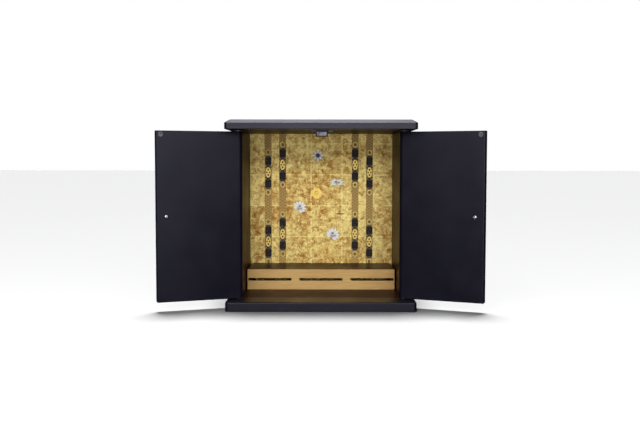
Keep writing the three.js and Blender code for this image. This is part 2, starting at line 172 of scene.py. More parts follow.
class Graph:
    """The node tree of one material."""

    def __init__(self, name: str) -> None:
        """Starts an empty material with an output and a principled shader."""
        self.material = bpy.data.materials.new(name)
        self.material.use_nodes = True
        self.tree = self.material.node_tree
        self.tree.nodes.clear()
        self.output = self.tree.nodes.new("ShaderNodeOutputMaterial")
        self.shader = self.tree.nodes.new("ShaderNodeBsdfPrincipled")
        self.tree.links.new(self.shader.outputs["BSDF"], self.output.inputs["Surface"])

    def node(self, kind: str, settings: Mapping[str, object],
             inputs: Mapping[object, object]) -> bpy.types.Node:
        """Adds a node.

        Args:
            kind: The node's type.
            settings: Its own settings, set first.
            inputs: Its sockets by name or number, each a constant, a Value or a socket.

        Returns:
            The node.
        """
        node = self.tree.nodes.new(kind)
        for key, setting in settings.items():
            setattr(node, key, setting)
        for key, given in inputs.items():
            self.plug(node.inputs[key], given)
        return node

    def plug(self, socket: bpy.types.NodeSocket, given: object) -> None:
        """Links a Value or socket to an input, or sets the input to a constant."""
        if isinstance(given, Value):
            self.tree.links.new(given.socket, socket)
        elif isinstance(given, bpy.types.NodeSocket):
            self.tree.links.new(given, socket)
        elif isinstance(given, tuple) and socket.type == "RGBA":
            socket.default_value = (*given, 1.0)
        else:
            socket.default_value = given

    def value(self, kind: str, settings: Mapping[str, object], inputs: Mapping[object, object]) -> Value:
        """Adds a node and gives back its first output that is in use."""
        node = self.node(kind, settings, inputs)
        return Value(self, next(s for s in node.outputs if s.enabled))

    def place(self) -> bpy.types.NodeSocket:
        """The point on the piece, in metres, in the cabinet's own frame."""
        return self.node("ShaderNodeTexCoord", {}, {}).outputs["Object"]

    def paint_map(self) -> bpy.types.NodeSocket:
        """The point on the piece's own map."""
        return self.node("ShaderNodeUVMap", {"uv_map": PaintSheet.MAP_NAME}, {}).outputs["UV"]

    def axes(self, vector: bpy.types.NodeSocket) -> tuple[Value, Value, Value]:
        """The three parts of a vector."""
        node = self.node("ShaderNodeSeparateXYZ", {}, {"Vector": vector})
        return Value(self, node.outputs["X"]), Value(self, node.outputs["Y"]), Value(self, node.outputs["Z"])

    def scaled(self, vector: bpy.types.NodeSocket, scale: Sequence[float], move: Sequence[float] = (0, 0, 0),
               turn: Sequence[float] = (0, 0, 0)) -> bpy.types.NodeSocket:
        """Centres, turns and scales a pattern's coordinates."""
        inputs = {"Vector": vector, "Location": tuple(move), "Rotation": tuple(turn), "Scale": tuple(scale)}
        return self.node("ShaderNodeMapping", {}, inputs).outputs["Vector"]

    def noise(self, vector: bpy.types.NodeSocket, scale: float, detail: float = 3.0, roughness: float = 0.5,
              distortion: float = 0.0) -> Value:
        """Soft noise from 0 to 1.

        Args:
            vector: Where the noise is read.
            scale: Features in one metre.
            detail: Octaves.
            roughness: How strong the finer octaves are.
            distortion: How far the noise is folded.

        Returns:
            The noise.
        """
        inputs = {"Vector": vector, "Scale": scale, "Detail": detail, "Roughness": roughness,
                  "Distortion": distortion}
        return Value(self, self.node("ShaderNodeTexNoise", {}, inputs).outputs["Fac"])

    def cells(self, vector: bpy.types.NodeSocket, scale: float, feature: str = "F1") -> Value:
        """The distance to the middle, or the edge, of scattered cells."""
        settings = {"feature": feature}
        return Value(self, self.node("ShaderNodeTexVoronoi", settings, {"Vector": vector, "Scale": scale})
                     .outputs["Distance"])

    def mix(self, first: object, second: object, share: Operand, blend: str = "MIX") -> bpy.types.NodeSocket:
        """A colour between two others.

        Args:
            first: The colour at share 0.
            second: The colour at share 1.
            share: From 0 to 1.
            blend: How the two are blended.

        Returns:
            The mixed colour.
        """
        node = self.node("ShaderNodeMix", {"data_type": "RGBA", "blend_type": blend}, {})
        self.plug(node.inputs[0], share)
        self.plug(node.inputs[6], first)
        self.plug(node.inputs[7], second)
        return node.outputs[2]

    def bump(self, height: Value, depth: float, strength: float = 1.0,
             under: Optional[bpy.types.NodeSocket] = None) -> bpy.types.NodeSocket:
        """Relief from a height of 0 to 1 that stands for so many metres.

        Args:
            height: The relief.
            depth: Metres from lowest to highest.
            strength: How much of it shows.
            under: A relief that this one lies on.

        Returns:
            The surface's new normal.
        """
        inputs = {"Height": height, "Distance": depth, "Strength": strength}
        if under is not None:
            inputs["Normal"] = under
        return self.node("ShaderNodeBump", {}, inputs).outputs["Normal"]

    def blend_in(self, second: bpy.types.Node, share: Value) -> None:
        """Lays a second shader over the first where the share is 1."""
        inputs = {0: share, 1: self.shader.outputs[0], 2: second.outputs[0]}
        mixed = self.node("ShaderNodeMixShader", {}, inputs)
        self.tree.links.new(mixed.outputs[0], self.output.inputs["Surface"])

    def finish(self, **sockets: object) -> bpy.types.Material:
        """Sets the principled shader's sockets and gives back the material.

        Args:
            sockets: Socket names with underscores for spaces.

        Returns:
            The finished material.
        """
        for key, given in sockets.items():
            self.plug(self.shader.inputs[key.replace("_", " ")], given)
        return self.material


def srgb(red: int, green: int, blue: int) -> Colour:
    """A display colour of 0 to 255 as linear light."""
    def channel(level: int) -> float:
        """One channel through the display curve."""
        share = level / 255
        return share / 12.92 if share <= 0.04045 else ((share + 0.055) / 1.055) ** 2.4

    return channel(red), channel(green), channel(blue)


# ---------------------------------------------------------------- finishes


class GrainAxis(enum.Enum):
    """The direction that a board's grain runs in."""

    ALONG_X = (1.0, 9.0, 9.0)
    ALONG_Y = (9.0, 1.0, 9.0)
    ALONG_Z = (9.0, 9.0, 1.0)


@dataclass(frozen=True)
class Lacquer:
    """Satin near-black lacquer with a violet cast, over a close-grained board that shows faintly through."""

    name: str = "satin_lacquer"
    tone: Colour = (0.0048, 0.0043, 0.0120)
    worn_tone: Colour = (0.0070, 0.0064, 0.0160)
    sheen: Colour = (0.86, 0.84, 1.0)
    roughness: float = 0.38
    index: float = 1.42
    grain: GrainAxis = GrainAxis.ALONG_Z
    has_inside: bool = False
    # The next two are painted warm light, a browner colour and orange-tinted reflections where a board faces
    # the inside, standing in for the gold panel's glow.
    inside_painted_gold_glow: Colour = (0.046, 0.0095, 0.0016)
    inside_painted_reflection_tint: Colour = (1.0, 0.62, 0.40)
    inside_index: float = 1.14
    inside_reach: float = 172.4 * MM
    inside_front: float = -88.5 * MM
    inside_floor: float = 19.6 * MM
    inside_ceiling: float = 380.4 * MM

    def inside_mask(self, graph: Graph, place: bpy.types.NodeSocket) -> Value:
        """1 on what faces the inside of the cabinet, between its sides, boards and open front."""
        x, y, z = graph.axes(place)
        between_boards = (z > self.inside_floor) * (z < self.inside_ceiling)
        return (abs(x) < self.inside_reach) * (y > self.inside_front) * between_boards

    def build(self) -> bpy.types.Material:
        """The material: cloudy tone, a faint grain in the relief, gloss that drifts, and a few fine rubs.

        A board that bounds the cabinet's inside gets a browner colour and orange-tinted reflections there.
        This is painted warm light that stands in for the gold's glow on the same lacquer.
        """
        graph = Graph(self.name)
        place = graph.place()
        clouds = graph.noise(place, 14, 3, 0.55)
        fine = graph.noise(place, 260, 2, 0.6)
        fibres = graph.noise(graph.scaled(place, self.grain.value), 60, 4, 0.62)
        rubs = graph.noise(graph.scaled(place, (3, 3, 40), turn=(0.3, 0.7, 0.2)), 30, 2, 0.5)
        share = clouds * 0.7 + fibres * 0.3
        colour = graph.mix(self.tone, self.worn_tone, share.ramp(0.3, 0.75))
        gloss = share.ramp(0.25, 0.75, self.roughness - 0.05, self.roughness + 0.06)
        gloss = gloss - rubs.ramp(0.62, 0.75) * 0.04
        relief = graph.bump(fibres, 0.00006, 0.5)
        relief = graph.bump(fine, 0.00002, 0.35, relief)
        finished = graph.finish(Base_Color=colour, Roughness=gloss, Normal=relief, IOR=self.index,
                                Specular_Tint=self.sheen)
        # Painted warm light: the inside faces get a browner colour and orange-tinted reflections for the
        # gold's glow, on the same lacquer.
        if self.has_inside:
            inside = graph.node("ShaderNodeBsdfPrincipled", {}, {
                "Base Color": graph.mix(colour, self.inside_painted_gold_glow, 0.8), "Roughness": gloss, "Normal": relief,
                "IOR": self.inside_index, "Specular Tint": self.inside_painted_reflection_tint})
            graph.blend_in(inside, self.inside_mask(graph, place))
        return finished


@dataclass(frozen=True)
class GoldLeafGround:
    """Squares of gold leaf laid edge over edge, crinkled and rubbed, brighter where two leaves overlap."""

    name: str = "gold_leaf_ground"
    deep: Colour = srgb(182, 124, 52)
    bright: Colour = srgb(255, 234, 152)
    bare_ground: Colour = srgb(112, 76, 32)
    pitch: float = 75 * MM
    first_x: float = -24.5 * MM
    first_z: float = 206 * MM
    lap: float = 1.6 * MM

    def lap_mask(self, graph: Graph, along: Value, first: float, sway: Value) -> Value:
        """1 on the narrow strip where leaves lap, with a wandering torn edge.

        Args:
            graph: The material's graph.
            along: The coordinate across the laps.
            first: Where one lap lies.
            sway: Noise that moves the edge.

        Returns:
            The mask.
        """
        shifted = (along + (sway - 0.5) * (2.4 * MM) - (first - self.pitch / 2)).wrapped(self.pitch)
        return abs(shifted - self.pitch / 2).ramp(self.lap * 1.1, self.lap * 0.35)

    def build(self) -> bpy.types.Material:
        """The material: leaf tone by square, crinkles, laps and rubbed spots that let the brown ground
        through."""
        graph = Graph(self.name)
        place = graph.place()
        x, _, z = graph.axes(place)
        sway = graph.noise(place, 90, 3, 0.6)
        drift = graph.noise(place, 16, 2, 0.5)
        crinkle = graph.noise(place, 125, 6, 0.72, 0.9)
        flecks = graph.noise(place, 620, 3, 0.7)
        folds = graph.cells(graph.scaled(place, (1, 1, 1.4), turn=(0, 0.5, 0)), 150, "DISTANCE_TO_EDGE")
        laps = self.lap_mask(graph, x, self.first_x, sway).most(self.lap_mask(graph, z, self.first_z, drift))
        column = ((x - (self.first_x - self.pitch / 2)) / self.pitch + 0.5).floored()
        row = ((z - (self.first_z - self.pitch / 2)) / self.pitch + 0.5).floored()
        square = ((column * 12.99 + row * 78.23).sine() * 437.58).wrapped(1.0)
        patches = graph.noise(place, 55, 3, 0.6, 0.5)
        lap_shine = laps * patches.ramp(0.38, 0.58, 0.5, 1.2)
        mottle = crinkle * 2.2 + flecks * 0.9 + patches * 1.3 + drift * 0.8
        tone = mottle + square * 0.16 + lap_shine * 0.5 - 2.13
        colour = graph.mix(self.deep, self.bright, tone.ramp(0.0, 1.0))
        rubbed = (crinkle * 0.6 + flecks * 0.4).ramp(0.44, 0.34)
        colour = graph.mix(colour, self.bare_ground, rubbed * 0.7)
        relief = graph.bump(crinkle, 0.0014, 0.6)
        relief = graph.bump(folds.ramp(0.0, 0.12), 0.0002, 0.35, relief)
        relief = graph.bump(laps, 0.0001, 0.5, relief)
        roughness = crinkle.ramp(0.3, 0.8, 0.58, 0.46) + rubbed * 0.1
        metallic = rubbed.ramp(0, 1, 0.92, 0.55)
        return graph.finish(Base_Color=colour, Metallic=metallic, Roughness=roughness, Normal=relief)


@dataclass(frozen=True)
class BandPaint:
    """The painted bands: dark lengths with scalloped ends, dotted oval medallions, rings and a faded
    trellis."""

    name: str = "band_paint"
    period: float = 168.3
    dark: Colour = srgb(36, 25, 25)
    grey: Colour = srgb(126, 112, 100)
    gold: Colour = srgb(236, 206, 118)
    faded: Colour = srgb(232, 190, 108)
    trellis_line: Colour = srgb(110, 80, 50)
    rim: Colour = srgb(190, 150, 84)
    rubbed_tone: Colour = srgb(190, 150, 80)
    dark_from: float = 11.0
    dark_to: float = 40.0
    inner_cap_at: float = 19.0
    outer_cap_at: float = 36.0
    ring_at: float = 48.5
    trellis_pitch: float = 7.0

    def build(self) -> bpy.types.Material:
        """The material. The map's first number runs across in millimetres, the second along from a
        medallion."""
        graph = Graph(self.name)
        across, along, _ = graph.axes(graph.paint_map())
        place = graph.place()
        wear = graph.noise(place, 300, 3, 0.65)
        side = abs(across)
        step = abs((along + self.period / 2).wrapped(self.period) - self.period / 2)

        def oval(middle: float, half_width: float, half_height: float) -> Value:
            """How far out of an oval a point is: 1 on its rim."""
            u = across / half_width
            v = (step - middle) / half_height
            return (u * u + v * v) ** 0.5

        def line(distance: Value, width: float, soft: float = 0.12) -> Value:
            """1 on a rim's line of that width, in shares of the oval."""
            return abs(distance - 1).ramp(width + soft, width)

        medallion = oval(0, 6.6, 12.5)
        inner_cap = oval(self.inner_cap_at, 7.4, 7.0)
        outer_cap = oval(self.outer_cap_at, 7.4, 6.4)
        ring = oval(self.ring_at, 4.4, 5.2)
        dark_length = (step > self.dark_from) * (step < self.dark_to)
        between_caps = (step > self.inner_cap_at) * (step < self.outer_cap_at)
        caps = inner_cap.ramp(1.02, 0.98).most(outer_cap.ramp(1.02, 0.98)) * (1 - between_caps)
        in_dark = dark_length * side.ramp(7.9, 7.6)
        rising, falling = (abs((across * slope + step).wrapped(self.trellis_pitch) - self.trellis_pitch / 2)
                           for slope in (0.7, -0.7))
        colour = graph.mix(self.faded, self.trellis_line, rising.least(falling).ramp(1.0, 0.5) * 0.5)
        colour = graph.mix(colour, self.rim, side.ramp(6.4, 7.2) * 0.35)
        colour = graph.mix(colour, self.dark, in_dark)
        colour = graph.mix(colour, self.grey, caps * 0.45)
        colour = graph.mix(colour, self.gold, line(inner_cap, 0.06) * 0.7 * (step < 19.2))
        colour = graph.mix(colour, self.gold, line(outer_cap, 0.06) * 0.7 * (step > 35.8))
        disc = medallion.ramp(1.04, 0.98)
        colour = graph.mix(colour, self.dark, medallion.ramp(1.25, 1.15))
        colour = graph.mix(colour, self.gold, disc)
        dots = oval(6.4, 1.7, 2.5).least((((side - 3.3) / 1.5) ** 2 + (step / 2.3) * (step / 2.3)) ** 0.5)
        colour = graph.mix(colour, self.dark, dots.ramp(1.15, 0.85))
        colour = graph.mix(colour, self.dark, ring.ramp(1.3, 1.1) * 0.6)
        colour = graph.mix(colour, self.gold, line(ring, 0.16) * 0.9)
        rubbed = wear.ramp(0.56, 0.70)
        colour = graph.mix(colour, self.rubbed_tone, rubbed * 0.4)
        shine = (disc * 0.8).most(line(ring, 0.16) * 0.8).most(rubbed * 0.5)
        return graph.finish(Base_Color=colour, Metallic=shine, Roughness=wear.ramp(0.3, 0.7, 0.44, 0.58),
                            IOR=1.3, Normal=graph.bump(wear, 0.0002, 0.4))


@dataclass(frozen=True)
class PetalPaint:
    """Opaque paint on a petal: pale at the rim, tinted towards the base, with veins and a fine darker
    outline."""

    name: str
    rim: Colour
    base: Colour
    outline: Colour
    pearl: float = 0.0

    def build(self) -> bpy.types.Material:
        """The material. The map runs from -1 to 1 across a petal and from 0 to 1 along it."""
        graph = Graph(self.name)
        across, along, _ = graph.axes(graph.paint_map())
        grain = graph.noise(graph.place(), 900, 2, 0.6)
        tint = along.ramp(0.60, 0.02) * 0.9 + (grain - 0.5) * 0.25
        colour = graph.mix(self.rim, self.base, tint.ramp(0.0, 1.0))
        veins = abs((across * 5).wrapped(1.0) - 0.5).ramp(0.12, 0.02) * along.ramp(0.95, 0.2)
        colour = graph.mix(colour, self.base, veins * 0.35)
        colour = graph.mix(colour, self.outline, abs(across).ramp(0.80, 0.97) * 0.8)
        return graph.finish(Base_Color=colour, Roughness=grain.ramp(0.3, 0.7, 0.5, 0.65), Metallic=self.pearl,
                            Normal=graph.bump(grain, 0.0001, 0.4))


@dataclass(frozen=True)
class GoldPaint:
    """Gold paint laid over the leaf, a little lighter or darker than it."""

    name: str
    tone: Colour
    depth: Colour
    metallic: float = 0.8

    def build(self) -> bpy.types.Material:
        """The material: a tone that drifts, over fine brushed relief."""
        graph = Graph(self.name)
        grain = graph.noise(graph.place(), 700, 3, 0.6)
        colour = graph.mix(self.tone, self.depth, grain.ramp(0.4, 0.65))
        return graph.finish(Base_Color=colour, Metallic=self.metallic,
                            Roughness=grain.ramp(0.3, 0.7, 0.4, 0.55), Normal=graph.bump(grain, 0.0001, 0.4))


@dataclass(frozen=True)
class PaleWood:
    """Straight-grained pale wood under a clear satin finish, its grain along X."""

    name: str = "pale_wood"
    light: Colour = srgb(238, 194, 118)
    dark: Colour = srgb(206, 154, 78)

    def build(self) -> bpy.types.Material:
        """The material: growth lines, fine pores and a slow drift of tone."""
        graph = Graph(self.name)
        place = graph.place()
        slow = graph.noise(place, 9, 2, 0.5)
        lines = graph.noise(graph.scaled(place, (0.05, 1, 1)), 420, 4, 0.6, 0.3)
        pores = graph.noise(graph.scaled(place, (0.03, 1, 1)), 1500, 2, 0.7)
        tone = lines * 0.6 + slow * 0.5 + pores * 0.2 - 0.15
        colour = graph.mix(self.light, self.dark, tone.ramp(0.25, 0.85))
        relief = graph.bump(pores, 0.00006, 0.4)
        return graph.finish(Base_Color=colour, Roughness=lines.ramp(0.3, 0.7, 0.42, 0.54), Normal=relief)


@dataclass(frozen=True)
class DarkBoard:
    """Plain dark-stained board, duller and rougher than the lacquer, for what faces the wall."""

    name: str = "dark_board"
    tone: Colour = (0.016, 0.013, 0.019)
    blotched: Colour = (0.040, 0.031, 0.036)

    def build(self) -> bpy.types.Material:
        """The material: open fibres and blotchy stain."""
        graph = Graph(self.name)
        place = graph.place()
        fibres = graph.noise(graph.scaled(place, (9, 9, 1)), 70, 5, 0.65)
        blotch = graph.noise(place, 20, 3, 0.6)
        colour = graph.mix(self.tone, self.blotched, (fibres * 0.6 + blotch * 0.4).ramp(0.3, 0.7))
        return graph.finish(Base_Color=colour, Roughness=fibres.ramp(0.3, 0.7, 0.58, 0.74),
                            Normal=graph.bump(fibres, 0.0002, 0.5))


@dataclass(frozen=True)
class PlatedMetal:
    """Plated or solid metal with fine brushing, handling marks and a duller film in patches."""

    name: str
    tone: Colour
    film: Colour
    roughness: float = 0.24
    metallic: float = 1.0

    def build(self) -> bpy.types.Material:
        """The material."""
        graph = Graph(self.name)
        place = graph.place()
        brushing = graph.noise(graph.scaled(place, (1, 1, 14)), 500, 3, 0.6)
        marks = graph.noise(place, 240, 4, 0.6)
        colour = graph.mix(self.tone, self.film, marks.ramp(0.42, 0.72))
        roughness = marks.ramp(0.3, 0.75, self.roughness, self.roughness + 0.16)
        return graph.finish(Base_Color=colour, Metallic=self.metallic, Roughness=roughness,
                            Normal=graph.bump(brushing, 0.00003, 0.4))


@dataclass(frozen=True)
class MouldedPlastic:
    """Dark moulded plastic with a fine spark-eroded texture."""

    name: str = "moulded_plastic"

    def build(self) -> bpy.types.Material:
        """The material."""
        graph = Graph(self.name)
        texture = graph.noise(graph.place(), 2200, 2, 0.5)
        colour = graph.mix((0.008, 0.007, 0.012), (0.018, 0.017, 0.024), texture.ramp(0.35, 0.65))
        return graph.finish(Base_Color=colour, Roughness=texture.ramp(0.3, 0.7, 0.42, 0.55),
                            Normal=graph.bump(texture, 0.00006, 0.5))


@dataclass(frozen=True)
class StudioPaper:
    """The pale paper that the cabinet stands on."""

    name: str = "studio_paper"
    tone: Colour = (0.54, 0.54, 0.543)
    shade: Colour = (0.53, 0.53, 0.532)

    def build(self) -> bpy.types.Material:
        """The material: nearly even, with a faint tooth."""
        graph = Graph(self.name)
        tooth = graph.noise(graph.place(), 40, 2, 0.5)
        colour = graph.mix(self.tone, self.shade, tooth)
        return graph.finish(Base_Color=colour, Roughness=0.9)


# ---------------------------------------------------------------- surfaces


def sheet_object(name: str, points: np.ndarray, smooth: bool = True, close_rows: bool = False,
                 close_columns: bool = False) -> bpy.types.Object:
    """Makes a mesh object from a grid of points, with doubled points merged so that seams and poles are
    closed.

    Each cell (row, column) gives the four-sided face (r, c), (r, c + 1), (r + 1, c + 1), (r + 1, c), whose
    outward side is where columns run anticlockwise as rows rise.

    Args:
        name: The object's name.
        points: Rows by columns by 3.
        smooth: Whether faces are shaded smooth.
        close_rows: Whether the last row joins the first.
        close_columns: Whether the last column joins the first.

    Returns:
        The object, at the origin.
    """
    rows, columns = points.shape[:2]
    row = np.arange(rows if close_rows else rows - 1)[:, None]
    column = np.arange(columns if close_columns else columns - 1)[None, :]
    next_row, next_column = (row + 1) % rows, (column + 1) % columns
    faces = np.stack(
        [row * columns + column, row * columns + next_column, next_row * columns + next_column,
         next_row * columns + column], axis=-1).reshape(-1, 4)
    mesh = bpy.data.meshes.new(name)
    mesh.from_pydata(points.reshape(-1, 3).tolist(), [], faces.tolist())
    work = bmesh.new()
    work.from_mesh(mesh)
    bmesh.ops.remove_doubles(work, verts=work.verts[:], dist=1e-6)
    work.to_mesh(mesh)
    work.free()
    mesh.polygons.foreach_set("use_smooth", np.full(len(mesh.polygons), smooth))
    mesh.update()
    made = bpy.data.objects.new(name, mesh)
    bpy.context.scene.collection.objects.link(made)
    return made


@dataclass(frozen=True)
class Hinge:
    """A vertical line of pins, and how far the door on it is turned at rest."""

    x: float
    y: float
    angle: float

    def carry(self, points: np.ndarray) -> np.ndarray:
        """Takes points of a closed door, measured from the pins, to where the open door has them.

        The points are turned about Z by the door's angle and then moved to the line of pins.

        Args:
            points: Any array of points, its last axis x, y and z.

        Returns:
            The same points in the cabinet's frame.
        """
        cos, sin = math.cos(self.angle), math.sin(self.angle)
        x, y, z = points[..., 0], points[..., 1], points[..., 2]
        return np.stack([self.x + x * cos - y * sin, self.y + x * sin + y * cos, z], axis=-1)


@dataclass(frozen=True)
class EdgeProfile:
    """How a board's edge is worked: eased or chamfered rims, as insets against height."""

    foot_width: float
    foot_height: float
    head_width: float
    head_height: float
    head_is_flat: bool = False
    steps: int = 6

    def rows(self, low: float, high: float) -> np.ndarray:
        """The edge from the underside to the upper face.

        Each rim is a quarter of an ellipse, or for a flat head a straight chamfer with narrow rounds at both
        of its ends. A close second row next to every rim keeps the broad faces evenly lit.

        Args:
            low: The height of the underside.
            high: The height of the upper face.

        Returns:
            Rows of inset and height.
        """
        turn = np.linspace(0, np.pi / 2, self.steps)
        hold = 0.25 * MM
        foot = np.stack([self.foot_width * (1 - np.sin(turn)),
                         low + self.foot_height * (1 - np.cos(turn))], axis=1)
        if self.head_is_flat:
            soft = 0.6 * MM
            slope = math.atan2(self.head_height, self.head_width)
            lift = soft * math.tan((np.pi / 2 - slope) / 2)
            sweep = np.linspace(0, 1, self.steps)
            rise = sweep * (np.pi / 2 - slope)
            lower = np.stack([soft * (1 - np.cos(rise)),
                              high - self.head_height - lift + soft * np.sin(rise)], axis=1)
            draw = soft * math.tan(slope / 2)
            back = sweep[::-1] * slope
            upper = np.stack([self.head_width + draw - soft * np.sin(back),
                              high - soft * (1 - np.cos(back))], axis=1)
            unit = np.array([math.cos(slope), math.sin(slope)])
            head = np.concatenate([lower, [lower[-1] + unit * hold, upper[0] - unit * hold], upper])
        else:
            head = np.stack([self.head_width * (1 - np.cos(turn)),
                             high - self.head_height * (1 - np.sin(turn))], axis=1)
        inner = [[head[-1][0] + hold, high]]
        outer = [[foot[0][0] + hold, low]]
        sides = [[0, foot[-1][1] + hold], [0, head[0][1] - hold]]
        return np.concatenate([outer, foot, sides, head, inner])


@dataclass(frozen=True)
class Slab:
    """A board: a rectangle in plan with four rounded corners, whose edge follows a profile.

    The corners run anticlockwise from low X and low Y. A side with its own plain edge keeps that one instead.
    """

    name: str
    low: tuple[float, float, float]
    high: tuple[float, float, float]
    radii: tuple[float, float, float, float]
    edge: EdgeProfile
    back_edge: Optional[EdgeProfile] = None
    corner_steps: int = 7

    def ring(self, inset: np.ndarray, back_inset: np.ndarray) -> np.ndarray:
        """The outline at each inset, one row a height.

        A corner's centre stands in from both sides by the larger of its radius and the inset, and its radius
        is what the inset leaves of it. The corner turns through a quarter circle, and a close second point on
        each straight side keeps that side evenly lit.

        Args:
            inset: Inset of the front and the ends, one a row.
            back_inset: Inset of the back, one a row.

        Returns:
            Rows by points by 2.
        """
        share = np.concatenate([[0.0], np.linspace(0, 1, self.corner_steps), [1.0]])
        stretch = np.concatenate([[-1.0], np.zeros(self.corner_steps), [1.0]]) * 0.25 * MM
        reach = (self.high[0] - self.low[0]) / 2
        depth = (self.high[1] - self.low[1]) / 2
        corners = []
        for index, radius in enumerate(self.radii):
            behind = index >= 2
            second = back_inset if behind else inset
            centre_x = (self.low[0] + np.minimum(np.maximum(radius, inset), reach) if index in (0, 3)
                        else self.high[0] - np.minimum(np.maximum(radius, inset), reach))
            centre_y = (self.high[1] - np.minimum(np.maximum(radius, second), depth) if behind
                        else self.low[1] + np.minimum(np.maximum(radius, second), depth))
            left = np.maximum(radius - np.maximum(inset, second), 0.0)
            angle = np.pi + (index + share) * np.pi / 2
            along = np.stack([-np.sin(angle), np.cos(angle)], axis=-1) * stretch[:, None]
            spread = np.stack([np.cos(angle), np.sin(angle)], axis=-1)[None] * left[:, None, None]
            room = np.clip((min(reach, depth) - inset) / (0.5 * MM), 0, 1)
            centre = np.stack([centre_x, centre_y], axis=-1)[:, None]
            corners.append(centre + spread + along[None] * room[:, None, None])
        return np.concatenate(corners, axis=1)

    def points(self) -> np.ndarray:
        """The whole surface: the middle line of the underside, the edge, and the middle line of the upper
        face."""
        rows = self.edge.rows(self.low[2], self.high[2])
        back = (self.back_edge or self.edge).rows(self.low[2], self.high[2])
        back_inset = np.interp(rows[:, 1], back[:, 1], back[:, 0]) if self.back_edge else rows[:, 0]
        if self.back_edge:
            back_inset[0], back_inset[-1] = back[0, 0], back[-1, 0]
        middle = min(self.high[0] - self.low[0], self.high[1] - self.low[1]) / 2
        inset = np.concatenate([[middle], rows[:, 0], [middle]])
        back_inset = np.concatenate([[middle], back_inset, [middle]])
        height = np.concatenate([[self.low[2]], rows[:, 1], [self.high[2]]])
        flat = self.ring(inset, back_inset)
        tall = np.broadcast_to(height[:, None, None], (*flat.shape[:2], 1))
        return np.concatenate([flat, tall], axis=-1)

    def build(self, hinge: Optional[Hinge] = None) -> bpy.types.Object:
        """The board as an object, carried by a hinge if it is a door."""
        points = self.points()
        return sheet_object(self.name, hinge.carry(points) if hinge else points, close_columns=True)


@dataclass(frozen=True)
class Turned:
    """A turned piece: a profile of radius against height, carried round its axis."""

    name: str
    profile: tuple[tuple[float, float], ...]
    steps: int = 40

    @classmethod
    def in_millimetres(cls, name: str, profile: Iterable[tuple[float, float]], steps: int) -> "Turned":
        """The piece whose profile is given in millimetres."""
        return cls(name, tuple((radius * MM, height * MM) for radius, height in profile), steps)

    def smooth_profile(self) -> np.ndarray:
        """The profile with extra rows close to each of its corners, so that flats stay flat and corners
        crisp.

        Every leg is cut at a small distance from each of its ends, and the points are joined in order.
        """
        points = np.array(self.profile)
        legs = np.diff(points, axis=0)
        length = np.hypot(legs[:, 0], legs[:, 1])[:, None]
        cut = np.minimum(0.12 * MM, length * 0.3) * legs / np.maximum(length, 1e-9)
        rows = np.stack([points[:-1] + cut, points[1:] - cut], axis=1).reshape(-1, 2)
        return np.concatenate([points[:1], rows, points[-1:]])

    def points(self) -> np.ndarray:
        """The surface about the Z axis: (radius cos a, radius sin a, height)."""
        rows = self.smooth_profile()
        angle = np.linspace(0, 2 * np.pi, self.steps, endpoint=False)
        radius, height = rows[:, :1], rows[:, 1:]
        return np.stack([radius * np.cos(angle), radius * np.sin(angle),
                         np.broadcast_to(height, (len(rows), self.steps))], axis=-1)

    def standing(self, at: Sequence[float]) -> bpy.types.Object:
        """The piece upright, its foot at a point."""
        return sheet_object(self.name, self.points() + np.array(at), close_columns=True)

    def on_door(self, hinge: Hinge, at: Sequence[float], outwards: float) -> bpy.types.Object:
        """The piece on a door, its axis across the door's thickness.

        The upright piece is laid over so that its height runs along Y, forwards or backwards, and its own X
        and the door's stay alike.

        Args:
            hinge: The door's hinge.
            at: The foot of the piece, on the closed door, measured from the pins.
            outwards: -1 where the piece stands on the outer face, 1 on the inner face.

        Returns:
            The object.
        """
        points = self.points()
        laid = np.stack([points[..., 0] * -outwards, points[..., 2] * outwards, points[..., 1]], axis=-1)
        return sheet_object(self.name, hinge.carry(laid + np.array(at)), close_columns=True)


def worked_copy(name: str, node: str, bevel: float) -> bpy.types.Object:
    """A copy of a solid with its triangles joined into flat faces and its edges eased.

    Args:
        name: The new object's name.
        node: The solid's node.
        bevel: The width of the eased edges, in metres.

    Returns:
        The object, which stands for the node.
    """
    mesh = frame["nodes"][node].data.copy()
    mesh.name = name
    mesh.materials.clear()
    work = bmesh.new()
    work.from_mesh(mesh)
    bmesh.ops.remove_doubles(work, verts=work.verts[:], dist=1e-6)
    bmesh.ops.dissolve_limit(work, angle_limit=math.radians(0.5), verts=work.verts[:], edges=work.edges[:])
    work.to_mesh(mesh)
    work.free()
    mesh.polygons.foreach_set("use_smooth", np.full(len(mesh.polygons), False))
    made = bpy.data.objects.new(name, mesh)
    bpy.context.scene.collection.objects.link(made)
    easing = made.modifiers.new("easing", "BEVEL")
    easing.width = bevel
    easing.segments = 2
    easing.limit_method = "ANGLE"
    easing.angle_limit = math.radians(40)
    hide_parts(node)
    return made


def dress(piece: bpy.types.Object, finish: bpy.types.Material, body: str, slot: str, *nodes: str) -> None:
    """Gives a new piece its finish and the body that carries it, and hides the nodes that it stands for; the
    slot is not used.
    """
    piece.data.materials.clear()
    piece.data.materials.append(finish)
    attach(piece, body)
    if nodes:
        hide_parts(*nodes)
    LOG.info("made %s on %s", piece.name, body)


def repaint(node: str, finish: bpy.types.Material) -> None:
    """Gives a solid that stays as it is its finish."""
    solid = frame["nodes"][node]
    solid.data.materials.clear()
    solid.data.materials.append(finish)
    LOG.info("painted %s", node)


# ---------------------------------------------------------------- the finishes in use


def built(finish: object) -> bpy.types.Material:
    """A field of the palette, whose material is built from its finish when the palette is made."""
    return field(default_factory=finish.build)


